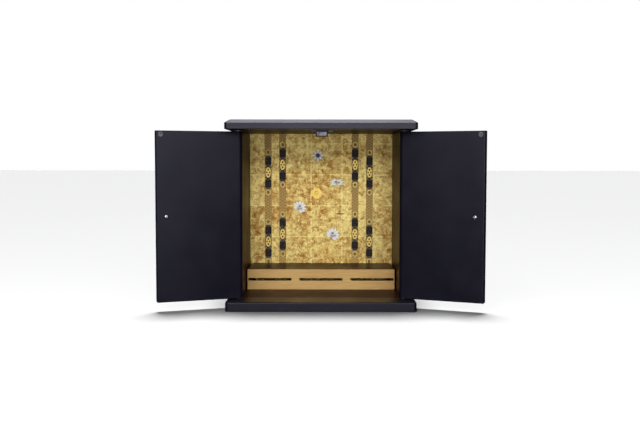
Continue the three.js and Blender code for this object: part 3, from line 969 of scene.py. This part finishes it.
@dataclass
class Palette:
    """Every finish of the cabinet, built once."""

    lacquer: bpy.types.Material = built(Lacquer())
    # The boards and sides carry painted warm light from the gold where they face the inside.
    lacquer_boards: bpy.types.Material = built(
        Lacquer(name="satin_lacquer_boards", grain=GrainAxis.ALONG_X, has_inside=True))
    lacquer_sides: bpy.types.Material = built(Lacquer(name="satin_lacquer_sides", has_inside=True))
    dark_board: bpy.types.Material = built(DarkBoard())
    gold_leaf: bpy.types.Material = built(GoldLeafGround())
    band_paint: bpy.types.Material = built(BandPaint())
    white_petal: bpy.types.Material = built(PetalPaint(
        "white_petal", srgb(255, 253, 248), srgb(190, 174, 190), srgb(140, 120, 96), 0.6))
    yellow_petal: bpy.types.Material = built(PetalPaint(
        "yellow_petal", srgb(244, 220, 120), srgb(206, 160, 70), srgb(190, 150, 60)))
    plum_paint: bpy.types.Material = built(PetalPaint(
        "plum_paint", srgb(96, 84, 110), srgb(52, 44, 66), srgb(60, 50, 70)))
    leaf_paint: bpy.types.Material = built(PetalPaint(
        "leaf_paint", srgb(126, 94, 50), srgb(70, 48, 28), srgb(84, 60, 34)))
    light_gold: bpy.types.Material = built(GoldPaint(
        "light_gold", srgb(240, 208, 112), srgb(222, 184, 88)))
    soft_gold: bpy.types.Material = built(GoldPaint(
        "soft_gold", srgb(206, 166, 84), srgb(184, 142, 66)))
    pale_wood: bpy.types.Material = built(PaleWood())
    nickel: bpy.types.Material = built(PlatedMetal(
        "nickel", (0.66, 0.65, 0.67), (0.44, 0.42, 0.44)))
    pole_steel: bpy.types.Material = built(PlatedMetal(
        "pole_steel", (0.42, 0.40, 0.48), (0.26, 0.24, 0.30), 0.42, 0.6))
    dull_zinc: bpy.types.Material = built(PlatedMetal(
        "dull_zinc", (0.20, 0.19, 0.21), (0.10, 0.095, 0.11), 0.5, 0.7))
    plastic: bpy.types.Material = built(MouldedPlastic())


# ---------------------------------------------------------------- sub-assemblies


@dataclass
class Boards:
    """The top board with its broad chamfer and the base board with its rounded upper edge."""

    palette: Palette
    corner: float = 6 * MM
    back_corner: float = 0.75 * MM
    top_edge: EdgeProfile = EdgeProfile(0.75 * MM, 0.75 * MM, 12 * MM, 7 * MM, head_is_flat=True)
    base_edge: EdgeProfile = EdgeProfile(0.75 * MM, 0.75 * MM, 2.5 * MM, 2.5 * MM)
    plain_edge: EdgeProfile = EdgeProfile(0.75 * MM, 0.75 * MM, 0.75 * MM, 0.75 * MM)

    def build(self) -> None:
        """Makes both boards where their solids are."""
        radii = (self.corner, self.corner, self.back_corner, self.back_corner)
        for node, edge in (("top_board", self.top_edge), ("base_board", self.base_edge)):
            low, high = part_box(node)
            slab = Slab(f"{node}_worked", tuple(low), tuple(high), radii, edge, self.plain_edge)
            dress(slab.build(), self.palette.lacquer_boards, "cabinet", "lacquer", node)


@dataclass
class Carcass:
    """The two sides, the plain back and the gold-leafed panel."""

    palette: Palette
    side_edge: EdgeProfile = EdgeProfile(0.2 * MM, 0.2 * MM, 0.2 * MM, 0.2 * MM, steps=3)
    front_radius: float = 1.0 * MM
    back_radius: float = 0.2 * MM

    def build(self) -> None:
        """Makes the sides and paints the back and the panel."""
        radii = (self.front_radius, self.front_radius, self.back_radius, self.back_radius)
        for node in ("side_panel_left", "side_panel_right"):
            low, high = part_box(node)
            slab = Slab(f"{node}_worked", tuple(low), tuple(high), radii, self.side_edge)
            dress(slab.build(), self.palette.lacquer_sides, "cabinet", "lacquer", node)
        repaint("back_board", self.palette.dark_board)
        repaint("gold_panel", self.palette.gold_leaf)


@dataclass
class Stand:
    """The low stand: a pale slotted front, a lacquered top and two ends."""

    palette: Palette
    easing: float = 0.5 * MM

    def build(self) -> None:
        """Works the four pieces of the stand."""
        panel = worked_copy("stand_front_worked", "stand_front", self.easing)
        dress(panel, self.palette.pale_wood, "cabinet", "pale_wood")
        top = worked_copy("stand_top_worked", "stand_top", self.easing)
        dress(top, self.palette.lacquer_boards, "cabinet", "lacquer")
        for side in ("left", "right"):
            repaint(f"stand_end_{side}", self.palette.lacquer_sides)


@dataclass
class MagneticCatch:
    """The double magnetic catch under the top board."""

    palette: Palette

    def build(self) -> None:
        """Works the housing, strap, magnet and screws."""
        housing = worked_copy("catch_housing_worked", "catch_housing", 0.4 * MM)
        dress(housing, self.palette.plastic, "cabinet", "dark_plastic")
        strap = worked_copy("catch_strap_worked", "catch_strap", 0.3 * MM)
        dress(strap, self.palette.dull_zinc, "cabinet", "nickel")
        magnet = worked_copy("catch_magnet_worked", "catch_magnet", 0.3 * MM)
        dress(magnet, self.palette.pole_steel, "cabinet", "pole_steel")
        for side in ("left", "right"):
            node = f"catch_screw_{side}"
            low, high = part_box(node)
            middle = (low + high) / 2
            profile = ((0, -1.5), (0.8, -1.42), (1.6, -1.15), (2.2, -0.7), (2.55, -0.2), (2.6, 0), (1.5, 0),
                       (1.5, 10), (0, 11))
            turned = Turned.in_millimetres(f"{node}_worked", profile, 24)
            screw = turned.standing((middle.x, middle.y, low.z + 1.5 * MM))
            dress(screw, self.palette.nickel, "cabinet", "nickel", node)


@dataclass
class Door:
    """One door with its pins, its knob and the fittings on its inner face."""

    palette: Palette
    side: str
    thickness: float = 18 * MM
    reach: float = 175 * MM
    free_radius: float = 2.0 * MM
    edge: EdgeProfile = EdgeProfile(1.0 * MM, 1.0 * MM, 1.0 * MM, 1.0 * MM, steps=5)
    knob_from_edge: float = 20 * MM
    strike_from_edge: float = 9.5 * MM
    strike_from_top: float = 8 * MM
    fit_gap: float = 0.3 * MM

    def __post_init__(self) -> None:
        """Finds the door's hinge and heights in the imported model."""
        joint = next(j for j in frame["joints"] if j["name"] == f"door_{self.side}_hinge")
        sign = 1 if joint["axis"][2] > 0 else -1
        closed = min(joint["range_deg"])
        self.hinge = Hinge(joint["pos_m"][0], joint["pos_m"][1], math.radians(-closed * sign))
        self.towards = -sign
        low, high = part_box(f"door_{self.side}")
        self.low_z, self.high_z = low.z, high.z

    @property
    def body(self) -> str:
        """The body that the door's pieces ride on."""
        return f"door_{self.side}"

    def slab(self) -> Slab:
        """The door closed, measured from its pins: a full round at the pins and small rounds at the free
        edge."""
        half = self.thickness / 2
        ends = sorted((-half * self.towards, self.reach * self.towards))
        round_first = self.towards > 0
        radii = ((half, self.free_radius, self.free_radius, half) if round_first
                 else (self.free_radius, half, half, self.free_radius))
        low, high = (ends[0], -half, self.low_z), (ends[1], half, self.high_z)
        return Slab(f"door_{self.side}_worked", low, high, radii, self.edge, corner_steps=12)

    def knob(self, at: Sequence[float]) -> bpy.types.Object:
        """The turned knob on the outer face, with a spread foot, a waist and a domed head."""
        dome = [(8.5 * math.cos(a), 9.5 + 7.5 * math.sin(a)) for a in np.linspace(0, math.pi / 2, 9)[:-1]]
        profile = [(0, 0), (7.5, 0), (7.5, 1.2), (6.9, 1.9), (5.6, 2.8), (4.7, 4.0), (4.5, 5.4), (4.8, 6.8),
                   (6.2, 7.9), (7.7, 8.6), *dome, (0, 17)]
        turned = Turned.in_millimetres(f"knob_{self.side}_worked", profile, 56)
        return turned.on_door(self.hinge, at, -1)

    def screw_head(self, at: Sequence[float]) -> bpy.types.Object:
        """The knob's pan-head screw on the inner face, its cross recess pressed into the dome.

        The head's height is a flattened dome in the radius. The recess takes off up to 1.3 mm where the point
        lies in either of two crossed bars, its walls steep but not upright.

        Args:
            at: The middle of the head's seat, on the closed door, measured from the pins.

        Returns:
            The object.
        """
        radius, height, bar, arm, depth, segments = 4.8, 2.6, 0.55, 2.7, 1.3, 96
        rho = np.concatenate([[0.0], np.linspace(0.06, 0.985, 26), [1.0]])[:, None] * radius
        angle = np.linspace(0, 2 * np.pi, segments, endpoint=False)[None, :]
        x, y = rho * np.cos(angle), rho * np.sin(angle)
        dome = height * np.clip(1 - (rho / radius) ** 3.2, 0, 1) ** 0.5
        near = np.maximum(np.abs(x), np.abs(y))
        across = np.minimum(np.abs(x), np.abs(y))
        recess = np.clip((bar - across) / 0.35 + 0.5, 0, 1) * np.clip((arm - near) / 0.5 + 0.5, 0, 1)
        head = np.stack([x, y, dome - depth * recess], axis=-1)[::-1]
        shank = np.array([(0, -26.5), (1.0, -26.5), (2.0, -25.5), (2.0, 0), (radius, 0)])
        foot = np.stack([shank[:, :1] * np.cos(angle), shank[:, :1] * np.sin(angle),
                         np.broadcast_to(shank[:, 1:], (len(shank), segments))], axis=-1)
        points = np.concatenate([foot, head]) * MM
        laid = np.stack([points[..., 0] * -1, points[..., 2], points[..., 1]], axis=-1)
        placed = self.hinge.carry(laid + np.array(at))
        return sheet_object(f"knob_screw_{self.side}_worked", placed, close_columns=True)

    def build(self) -> None:
        """Makes the door and everything that turns with it."""
        half = self.thickness / 2
        face = half + self.fit_gap
        dress(self.slab().build(self.hinge), self.palette.lacquer, self.body, "lacquer", f"door_{self.side}")
        middle_z = (self.low_z + self.high_z) / 2
        knob_x = self.towards * (self.reach - self.knob_from_edge)
        for node, fitting in ((f"knob_{self.side}", self.knob((knob_x, -face, middle_z))),
                              (f"knob_screw_{self.side}", self.screw_head((knob_x, face, middle_z)))):
            dress(fitting, self.palette.nickel, self.body, "nickel", node)
        strike_x = self.towards * (self.reach - self.strike_from_edge)
        strike = (strike_x, face, self.high_z - self.strike_from_top)
        disc = ((1.7, 0), (5.0, 0), (5.0, 0.85), (4.9, 1.1), (4.65, 1.2), (2.8, 1.2), (1.7, 0))
        screw = ((0, -9.9), (1.2, -9), (1.2, 0), (2.3, 1.15), (2.2, 1.2), (0.9, 1.2), (0.5, 0.7), (0, 0.7))
        for part, profile, steps in (("disc", disc, 40), ("screw", screw, 24)):
            node = f"strike_{part}_{self.side}"
            fitting = Turned.in_millimetres(f"{node}_worked", profile, steps).on_door(self.hinge, strike, 1)
            dress(fitting, self.palette.dull_zinc, self.body, "nickel", node)
        for level in ("lower", "upper"):
            repaint(f"pin_{level}_{self.side}", self.palette.dull_zinc)


@dataclass(frozen=True)
class PaintSheet:
    """Thin painted shapes that lie on the gold panel, with a map of their own."""

    MAP_NAME = "paint"

    name: str
    lift: float = 0.12 * MM

    def build(self, points: Sequence[np.ndarray], maps: Sequence[np.ndarray]) -> bpy.types.Object:
        """Joins grids into one object and stores each point's place on the paint map.

        Args:
            points: For each shape, rows by columns by 2, as x and z on the panel.
            maps: For each shape, rows by columns by 2.

        Returns:
            The object, its faces towards the front.
        """
        low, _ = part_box("gold_panel")
        vertices, faces, uv, start = [], [], [], 0
        for order, (grid, where) in enumerate(zip(points, maps)):
            rows, columns = grid.shape[:2]
            height = low.y - self.lift - 0.01 * MM * order
            flat = grid.reshape(-1, 2)
            vertices.append(np.stack([flat[:, 0], np.full(len(flat), height), flat[:, 1]], axis=1))
            row, column = np.arange(rows - 1)[:, None], np.arange(columns - 1)[None, :]
            corner = row * columns + column
            faces.append(np.stack([corner, corner + 1, corner + columns + 1, corner + columns], axis=-1)
                         .reshape(-1, 4) + start)
            uv.append(where.reshape(-1, 2))
            start += len(flat)
        mesh = bpy.data.meshes.new(self.name)
        every = np.concatenate(faces)
        mesh.from_pydata(np.concatenate(vertices).tolist(), [], every.tolist())
        layer = mesh.uv_layers.new(name=self.MAP_NAME)
        layer.data.foreach_set("uv", np.concatenate(uv)[every.reshape(-1)].astype(np.float32).reshape(-1))
        mesh.update()
        made = bpy.data.objects.new(self.name, mesh)
        bpy.context.scene.collection.objects.link(made)
        return made


@dataclass(frozen=True)
class Petal:
    """A pointed petal: where it starts, which way it points, its length and its greatest width, in
    millimetres."""

    x: float
    z: float
    angle: float
    length: float
    width: float

    def grid(self) -> tuple[np.ndarray, np.ndarray]:
        """The petal as a grid.

        Its half width swells as the square root of the distance from its foot and closes as a blunt power
        towards its tip, so that it is broadest a little past the middle.

        Returns:
            The points and their place on the map: -1 to 1 across, 0 to 1 along.
        """
        along = np.linspace(0, 1, 11)[:, None]
        across = np.linspace(-1, 1, 7)[None, :]
        half = self.width * 0.86 * along ** 0.75 * (1 - along) ** 0.55 + 0.04
        turn = math.radians(self.angle)
        forward = np.array([math.cos(turn), math.sin(turn)])
        sideways = np.array([math.sin(turn), -math.cos(turn)])
        points = (np.array([self.x, self.z]) + (along * self.length)[..., None] * forward
                  + (across * half)[..., None] * sideways)
        return points * MM, np.stack(np.broadcast_arrays(across, along), axis=-1)


class Blossom(enum.Enum):
    """How a lotus is drawn."""

    OPEN = "open, seen from the front"
    FLAT = "low and wide, seen from the side"
    CUPPED = "half open, seen from the side"


@dataclass(frozen=True)
class Lotus:
    """A painted lotus: its middle on the panel, its width and height, and its tilt in degrees."""

    name: str
    x: float
    z: float
    width: float
    height: float
    tilt: float
    form: Blossom

    def _place(self, petal: Petal) -> Petal:
        """Turns a petal of the upright flower by the tilt and moves it to the flower's middle."""
        turn = math.radians(self.tilt)
        x = petal.x * math.cos(turn) - petal.z * math.sin(turn) + self.x
        z = petal.x * math.sin(turn) + petal.z * math.cos(turn) + self.z
        return Petal(x, z, petal.angle + self.tilt, petal.length, petal.width)

    def outer(self) -> list[Petal]:
        """The gold petals behind the white ones."""
        w, h = self.width, self.height
        if self.form is Blossom.OPEN:
            petals = [Petal(0, 0, a, 0.50 * w, 0.16 * w) for a in range(15, 375, 45)]
            petals += [Petal(0, -0.2 * h, a, 0.52 * w, 0.2 * w) for a in (200, 235, 270, 305, 340)]
        else:
            petals = [Petal(0, -0.35 * h, a, 0.5 * w, 0.16 * w) for a in (10, 170, 205, 335)]
        return [self._place(p) for p in petals]

    def white(self) -> list[Petal]:
        """The white petals, back ones first."""
        w, h = self.width, self.height
        if self.form is Blossom.OPEN:
            petals = [Petal(0, 0, a, (0.44 if a % 90 else 0.52) * w, 0.24 * w) for a in range(0, 360, 45)]
        elif self.form is Blossom.FLAT:
            petals = [Petal(0, -0.22 * h, a, s * w, 0.20 * w) for a, s in (
                (90, 0.26), (60, 0.34), (120, 0.34), (38, 0.42), (142, 0.42), (16, 0.5), (164, 0.5),
                (-8, 0.44), (188, 0.44), (-30, 0.26), (210, 0.26))]
        else:
            petals = [Petal(0, -0.34 * h, a, s * h, 0.33 * w) for a, s in (
                (90, 0.82), (68, 0.80), (112, 0.80), (44, 0.72), (136, 0.72), (20, 0.64), (160, 0.64),
                (-8, 0.46), (188, 0.46))]
        return [self._place(p) for p in petals]

    def heart(self) -> list[Petal]:
        """The plum-coloured strokes at the heart."""
        w, h = self.width, self.height
        if self.form is Blossom.OPEN:
            petals = [Petal(0, 0, a, 0.22 * w, 0.11 * w) for a in range(0, 360, 40)]
        else:
            petals = [Petal(-0.05 * w, -0.1 * h, a, 0.2 * h, 0.07 * w) for a in (60, 100, 140)]
            petals += [Petal(0.12 * w, -0.2 * h, a, 0.2 * h, 0.06 * w) for a in (30, 70)]
        return [self._place(p) for p in petals]


@dataclass(frozen=True)
class Stroke:
    """A painted line: a curve through three points in millimetres, and its width."""

    start: tuple[float, float]
    bend: tuple[float, float]
    end: tuple[float, float]
    width: float

    def grid(self) -> tuple[np.ndarray, np.ndarray]:
        """The stroke as a grid: a quadratic curve, (1-t)^2 a + 2t(1-t) b + t^2 c, with its width set off
        square to it.

        Returns:
            The points and their place on the map: -1 to 1 across, 0 to 1 along.
        """
        t = np.linspace(0, 1, 17)[:, None]
        a, b, c = (np.array(p) for p in (self.start, self.bend, self.end))
        line = (1 - t) ** 2 * a + 2 * t * (1 - t) * b + t ** 2 * c
        run = 2 * (1 - t) * (b - a) + 2 * t * (c - b)
        run = run / np.linalg.norm(run, axis=1, keepdims=True)
        square = np.stack([run[:, 1], -run[:, 0]], axis=1)
        across = np.linspace(-1, 1, 3)[None, :, None]
        taper = (0.35 + 0.65 * np.sin(np.pi * t)) * self.width / 2
        points = line[:, None] + square[:, None] * across * taper[:, None]
        place = np.stack(np.broadcast_arrays(across[..., 0], t), axis=-1)
        return points * MM, place


@dataclass
class PanelPainting:
    """What is painted on the gold leaf: four bands, four lotuses, a leaf, a ring flower, stems and
    ripples."""

    palette: Palette
    middle: float = -5.6 * MM
    inner_band: float = 87.8 * MM
    outer_band: float = 122.8 * MM
    band_width: float = 16.4 * MM
    inner_medallion: float = 305.5 * MM
    outer_drop: float = 18.4 * MM

    LOTUSES = (
        Lotus("lotus_top", -8, 328, 30, 25, 0, Blossom.OPEN),
        Lotus("lotus_right", 38, 265, 35, 19, 0, Blossom.FLAT),
        Lotus("lotus_left", -50, 205, 29, 27, -38, Blossom.CUPPED),
        Lotus("lotus_low", 30, 139, 34, 27, -28, Blossom.CUPPED),
    )

    def bands(self) -> None:
        """Paints the four bands as thin strips; their map counts millimetres from the strip's middle line."""
        low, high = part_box("gold_panel")
        _, stand_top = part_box("stand_top")
        for name, offset, drop in (
            ("band_outer_left", -self.outer_band, self.outer_drop), ("band_inner_left", -self.inner_band, 0),
            ("band_inner_right", self.inner_band, 0), ("band_outer_right", self.outer_band, self.outer_drop),
        ):
            rise = np.linspace(stand_top.z, high.z - 0.2 * MM, 60)[:, None]
            across = np.linspace(-1, 1, 5)[None, :] * self.band_width / 2
            points = np.stack(np.broadcast_arrays(self.middle + offset + across, rise), axis=-1)
            along = (rise - (self.inner_medallion - drop)) / MM
            place = np.stack(np.broadcast_arrays(across / MM, along), axis=-1)
            strip = PaintSheet(name).build([points], [place])
            dress(strip, self.palette.band_paint, "cabinet", "gold_leaf")

    def shapes(self, name: str, shapes: Iterable[Union[Petal, Stroke]], finish: bpy.types.Material,
               lift: float) -> None:
        """Paints petals or strokes of one colour as one thin object."""
        grids = [shape.grid() for shape in shapes]
        made = PaintSheet(name, lift).build([g[0] for g in grids], [g[1] for g in grids])
        dress(made, finish, "cabinet", "gold_leaf")

    def flowers(self) -> None:
        """Paints each lotus from the back layer to the front one."""
        for lotus in self.LOTUSES:
            self.shapes(f"{lotus.name}_outer", lotus.outer(), self.palette.yellow_petal, 0.10 * MM)
            self.shapes(f"{lotus.name}_petals", lotus.white(), self.palette.white_petal, 0.25 * MM)
            self.shapes(f"{lotus.name}_heart", lotus.heart(), self.palette.plum_paint, 0.40 * MM)

    def greenery(self) -> None:
        """Paints the leaf, the ring flower, the stems and the ripples."""
        leaf = [Petal(56, 187, 182, 20, 4.2), Petal(46, 188, 100, 5, 3)]
        self.shapes("small_leaf", leaf, self.palette.leaf_paint, 0.3 * MM)
        ring = [Petal(-11 + 4 * math.cos(math.radians(a)), 237 + 4.6 * math.sin(math.radians(a)), a, 9, 7)
                for a in range(0, 360, 30)]
        ring += [Petal(-11, 237, a, 3.4, 3.0) for a in range(0, 360, 60)]
        self.shapes("ring_flower", ring, self.palette.light_gold, 0.2 * MM)
        stems = [
            Stroke((-8, 314), (-2, 270), (-16, 200), 1.6), Stroke((38, 254), (30, 200), (44, 90), 1.6),
            Stroke((-46, 192), (-30, 150), (-34, 80), 1.6), Stroke((26, 126), (12, 110), (16, 78), 1.6),
            Stroke((-64, 275), (-50, 300), (-30, 290), 1.4), Stroke((-60, 250), (-40, 268), (-22, 258), 1.4),
        ]
        self.shapes("stems", stems, self.palette.soft_gold, 0.08 * MM)
        ripples = [
            Stroke((-32 + 9 * i, 96 - 5 * i), (10 + 4 * i, 118 - 7 * i), (62 - 3 * i, 100 - 7 * i), 1.3)
            for i in range(5)]
        self.shapes("ripples", ripples, self.palette.light_gold, 0.07 * MM)
        bud = [Petal(-61, 141, 62, 8, 3), Petal(-61, 141, 118, 8, 3)]
        self.shapes("small_bud", bud, self.palette.yellow_petal, 0.2 * MM)

    def build(self) -> None:
        """Paints everything."""
        self.bands()
        self.flowers()
        self.greenery()


# ---------------------------------------------------------------- studio


@dataclass(frozen=True)
class Softbox:
    """A large soft light that faces a point."""

    name: str
    at: tuple[float, float, float]
    aim: tuple[float, float, float]
    size: tuple[float, float]
    power: float
    tint: Colour = (1.0, 1.0, 1.0)

    def build(self) -> None:
        """Hangs the light."""
        light = bpy.data.lights.new(self.name, "AREA")
        light.shape = "RECTANGLE"
        light.size, light.size_y = self.size
        light.energy = self.power
        light.color = self.tint
        lamp = bpy.data.objects.new(self.name, light)
        lamp.location = self.at
        lamp.rotation_euler = (Vector(self.aim) - Vector(self.at)).to_track_quat("-Z", "Y").to_euler()
        bpy.context.scene.collection.objects.link(lamp)


@dataclass(frozen=True)
class Viewpoint:
    """The camera: a level-headed view from straight ahead, a little above the cabinet's middle."""

    at: tuple[float, float, float] = (2.07 * MM, -1868.8 * MM, 311.1 * MM)
    pitch_down: float = math.radians(3.48)
    yaw: float = math.radians(-0.136)
    roll: float = math.radians(0.067)
    lens: float = 46.72

    def build(self) -> None:
        """Sets up the camera and makes it the scene's."""
        data = bpy.data.cameras.new("viewpoint")
        data.sensor_fit = "HORIZONTAL"
        data.sensor_width = 36
        data.lens = self.lens
        data.clip_start, data.clip_end = 0.05, 60
        cos_p, sin_p = math.cos(self.pitch_down), math.sin(self.pitch_down)
        ahead = Vector((math.sin(self.yaw) * cos_p, math.cos(self.yaw) * cos_p, -sin_p))
        right = Vector((math.cos(self.yaw), -math.sin(self.yaw), 0))
        up = right.cross(ahead)
        tilted_right = right * math.cos(self.roll) + up * math.sin(self.roll)
        tilted_up = -right * math.sin(self.roll) + up * math.cos(self.roll)
        turn = Matrix((tilted_right, tilted_up, -ahead)).transposed().to_4x4()
        camera = bpy.data.objects.new("viewpoint", data)
        camera.matrix_world = Matrix.Translation(self.at) @ turn
        bpy.context.scene.collection.objects.link(camera)
        bpy.context.scene.camera = camera


@dataclass(frozen=True)
class Studio:
    """The plain pale floor, the soft lights and the plain surroundings."""

    half_width: float = 30.0
    backdrop: Colour = (1.0, 1.0, 1.0)
    sky: Colour = (0.040, 0.041, 0.046)
    ground: Colour = (0.010, 0.010, 0.012)
    top_light: float = 5.2
    top_lean: float = math.radians(10.3)
    top_spread: float = math.radians(18)

    LIGHTS = (
        Softbox("low_front", (0.0, -2.6, 0.23), (0.0, 0.0, 0.2), (1.2, 0.42), 12),
        Softbox("middle_front", (0.0, -2.44, 1.09), (0.0, 0.0, 0.2), (1.04, 0.73), 12),
        Softbox("right_front", (0.96, -2.25, 1.09), (0.0, 0.0, 0.2), (0.95, 0.73), 9),
        Softbox("left_front", (-0.96, -2.25, 1.09), (0.0, 0.0, 0.2), (0.95, 0.73), 7.2),
        Softbox("left_high", (-0.79, -1.86, 1.84), (0.0, 0.0, 0.2), (0.79, 1.0), 7.2),
    )

    def floor(self) -> bpy.types.Object:
        """A broad level floor, which the gloss of the lacquer doesn't pick up."""
        reach = np.array([-self.half_width, self.half_width])
        x, y = np.meshgrid(reach, reach)
        made = sheet_object("studio_floor", np.stack([x, y, np.zeros_like(x)], axis=-1))
        made.data.materials.append(StudioPaper().build())
        made.visible_glossy = False
        made.visible_diffuse = False
        return made

    def top_lamp(self) -> None:
        """A broad even light from above and a little behind, which draws the soft shadow under the base."""
        light = bpy.data.lights.new("top_lamp", "SUN")
        light.energy = self.top_light
        light.angle = self.top_spread
        lamp = bpy.data.objects.new("top_lamp", light)
        lamp.rotation_euler = (-self.top_lean, 0.0, 0.0)
        bpy.context.scene.collection.objects.link(lamp)

    def surroundings(self) -> None:
        """A white backdrop, and for light that reaches the cabinet a dim room that darkens below eye
        level."""
        world = bpy.data.worlds.new("room")
        world.use_nodes = True
        tree = world.node_tree
        tree.nodes.clear()
        coordinates = tree.nodes.new("ShaderNodeTexCoord")
        axes = tree.nodes.new("ShaderNodeSeparateXYZ")
        rise = tree.nodes.new("ShaderNodeMapRange")
        rise.interpolation_type = "SMOOTHSTEP"
        rise.inputs["From Min"].default_value = -0.35
        rise.inputs["From Max"].default_value = 0.35
        room = tree.nodes.new("ShaderNodeMix")
        room.data_type = "RGBA"
        room.inputs[6].default_value = (*self.ground, 1)
        room.inputs[7].default_value = (*self.sky, 1)
        rays = tree.nodes.new("ShaderNodeLightPath")
        seen = tree.nodes.new("ShaderNodeMix")
        seen.data_type = "RGBA"
        seen.inputs[7].default_value = (*self.backdrop, 1)
        background = tree.nodes.new("ShaderNodeBackground")
        output = tree.nodes.new("ShaderNodeOutputWorld")
        tree.links.new(coordinates.outputs["Generated"], axes.inputs["Vector"])
        tree.links.new(axes.outputs["Z"], rise.inputs["Value"])
        tree.links.new(rise.outputs["Result"], room.inputs[0])
        tree.links.new(room.outputs[2], seen.inputs[6])
        tree.links.new(rays.outputs["Is Camera Ray"], seen.inputs[0])
        tree.links.new(seen.outputs[2], background.inputs["Color"])
        tree.links.new(background.outputs["Background"], output.inputs["Surface"])
        bpy.context.scene.world = world

    def build(self) -> None:
        """Sets up the floor, the lights, the room and the camera."""
        self.floor()
        self.top_lamp()
        for light in self.LIGHTS:
            light.build()
        self.surroundings()
        bpy.context.scene.view_settings.view_transform = "Standard"
        Viewpoint().build()


# ---------------------------------------------------------------- the whole cabinet


def main() -> None:
    """Builds the studio and then the cabinet, piece by piece."""
    logging.basicConfig(level=logging.INFO, format="%(name)s: %(message)s")
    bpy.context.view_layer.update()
    Studio().build()
    palette = Palette()
    for assembly in (Boards(palette), Carcass(palette), Stand(palette), MagneticCatch(palette),
                     Door(palette, "left"), Door(palette, "right"), PanelPainting(palette)):
        assembly.build()


if __name__ == "__main__":
    main()
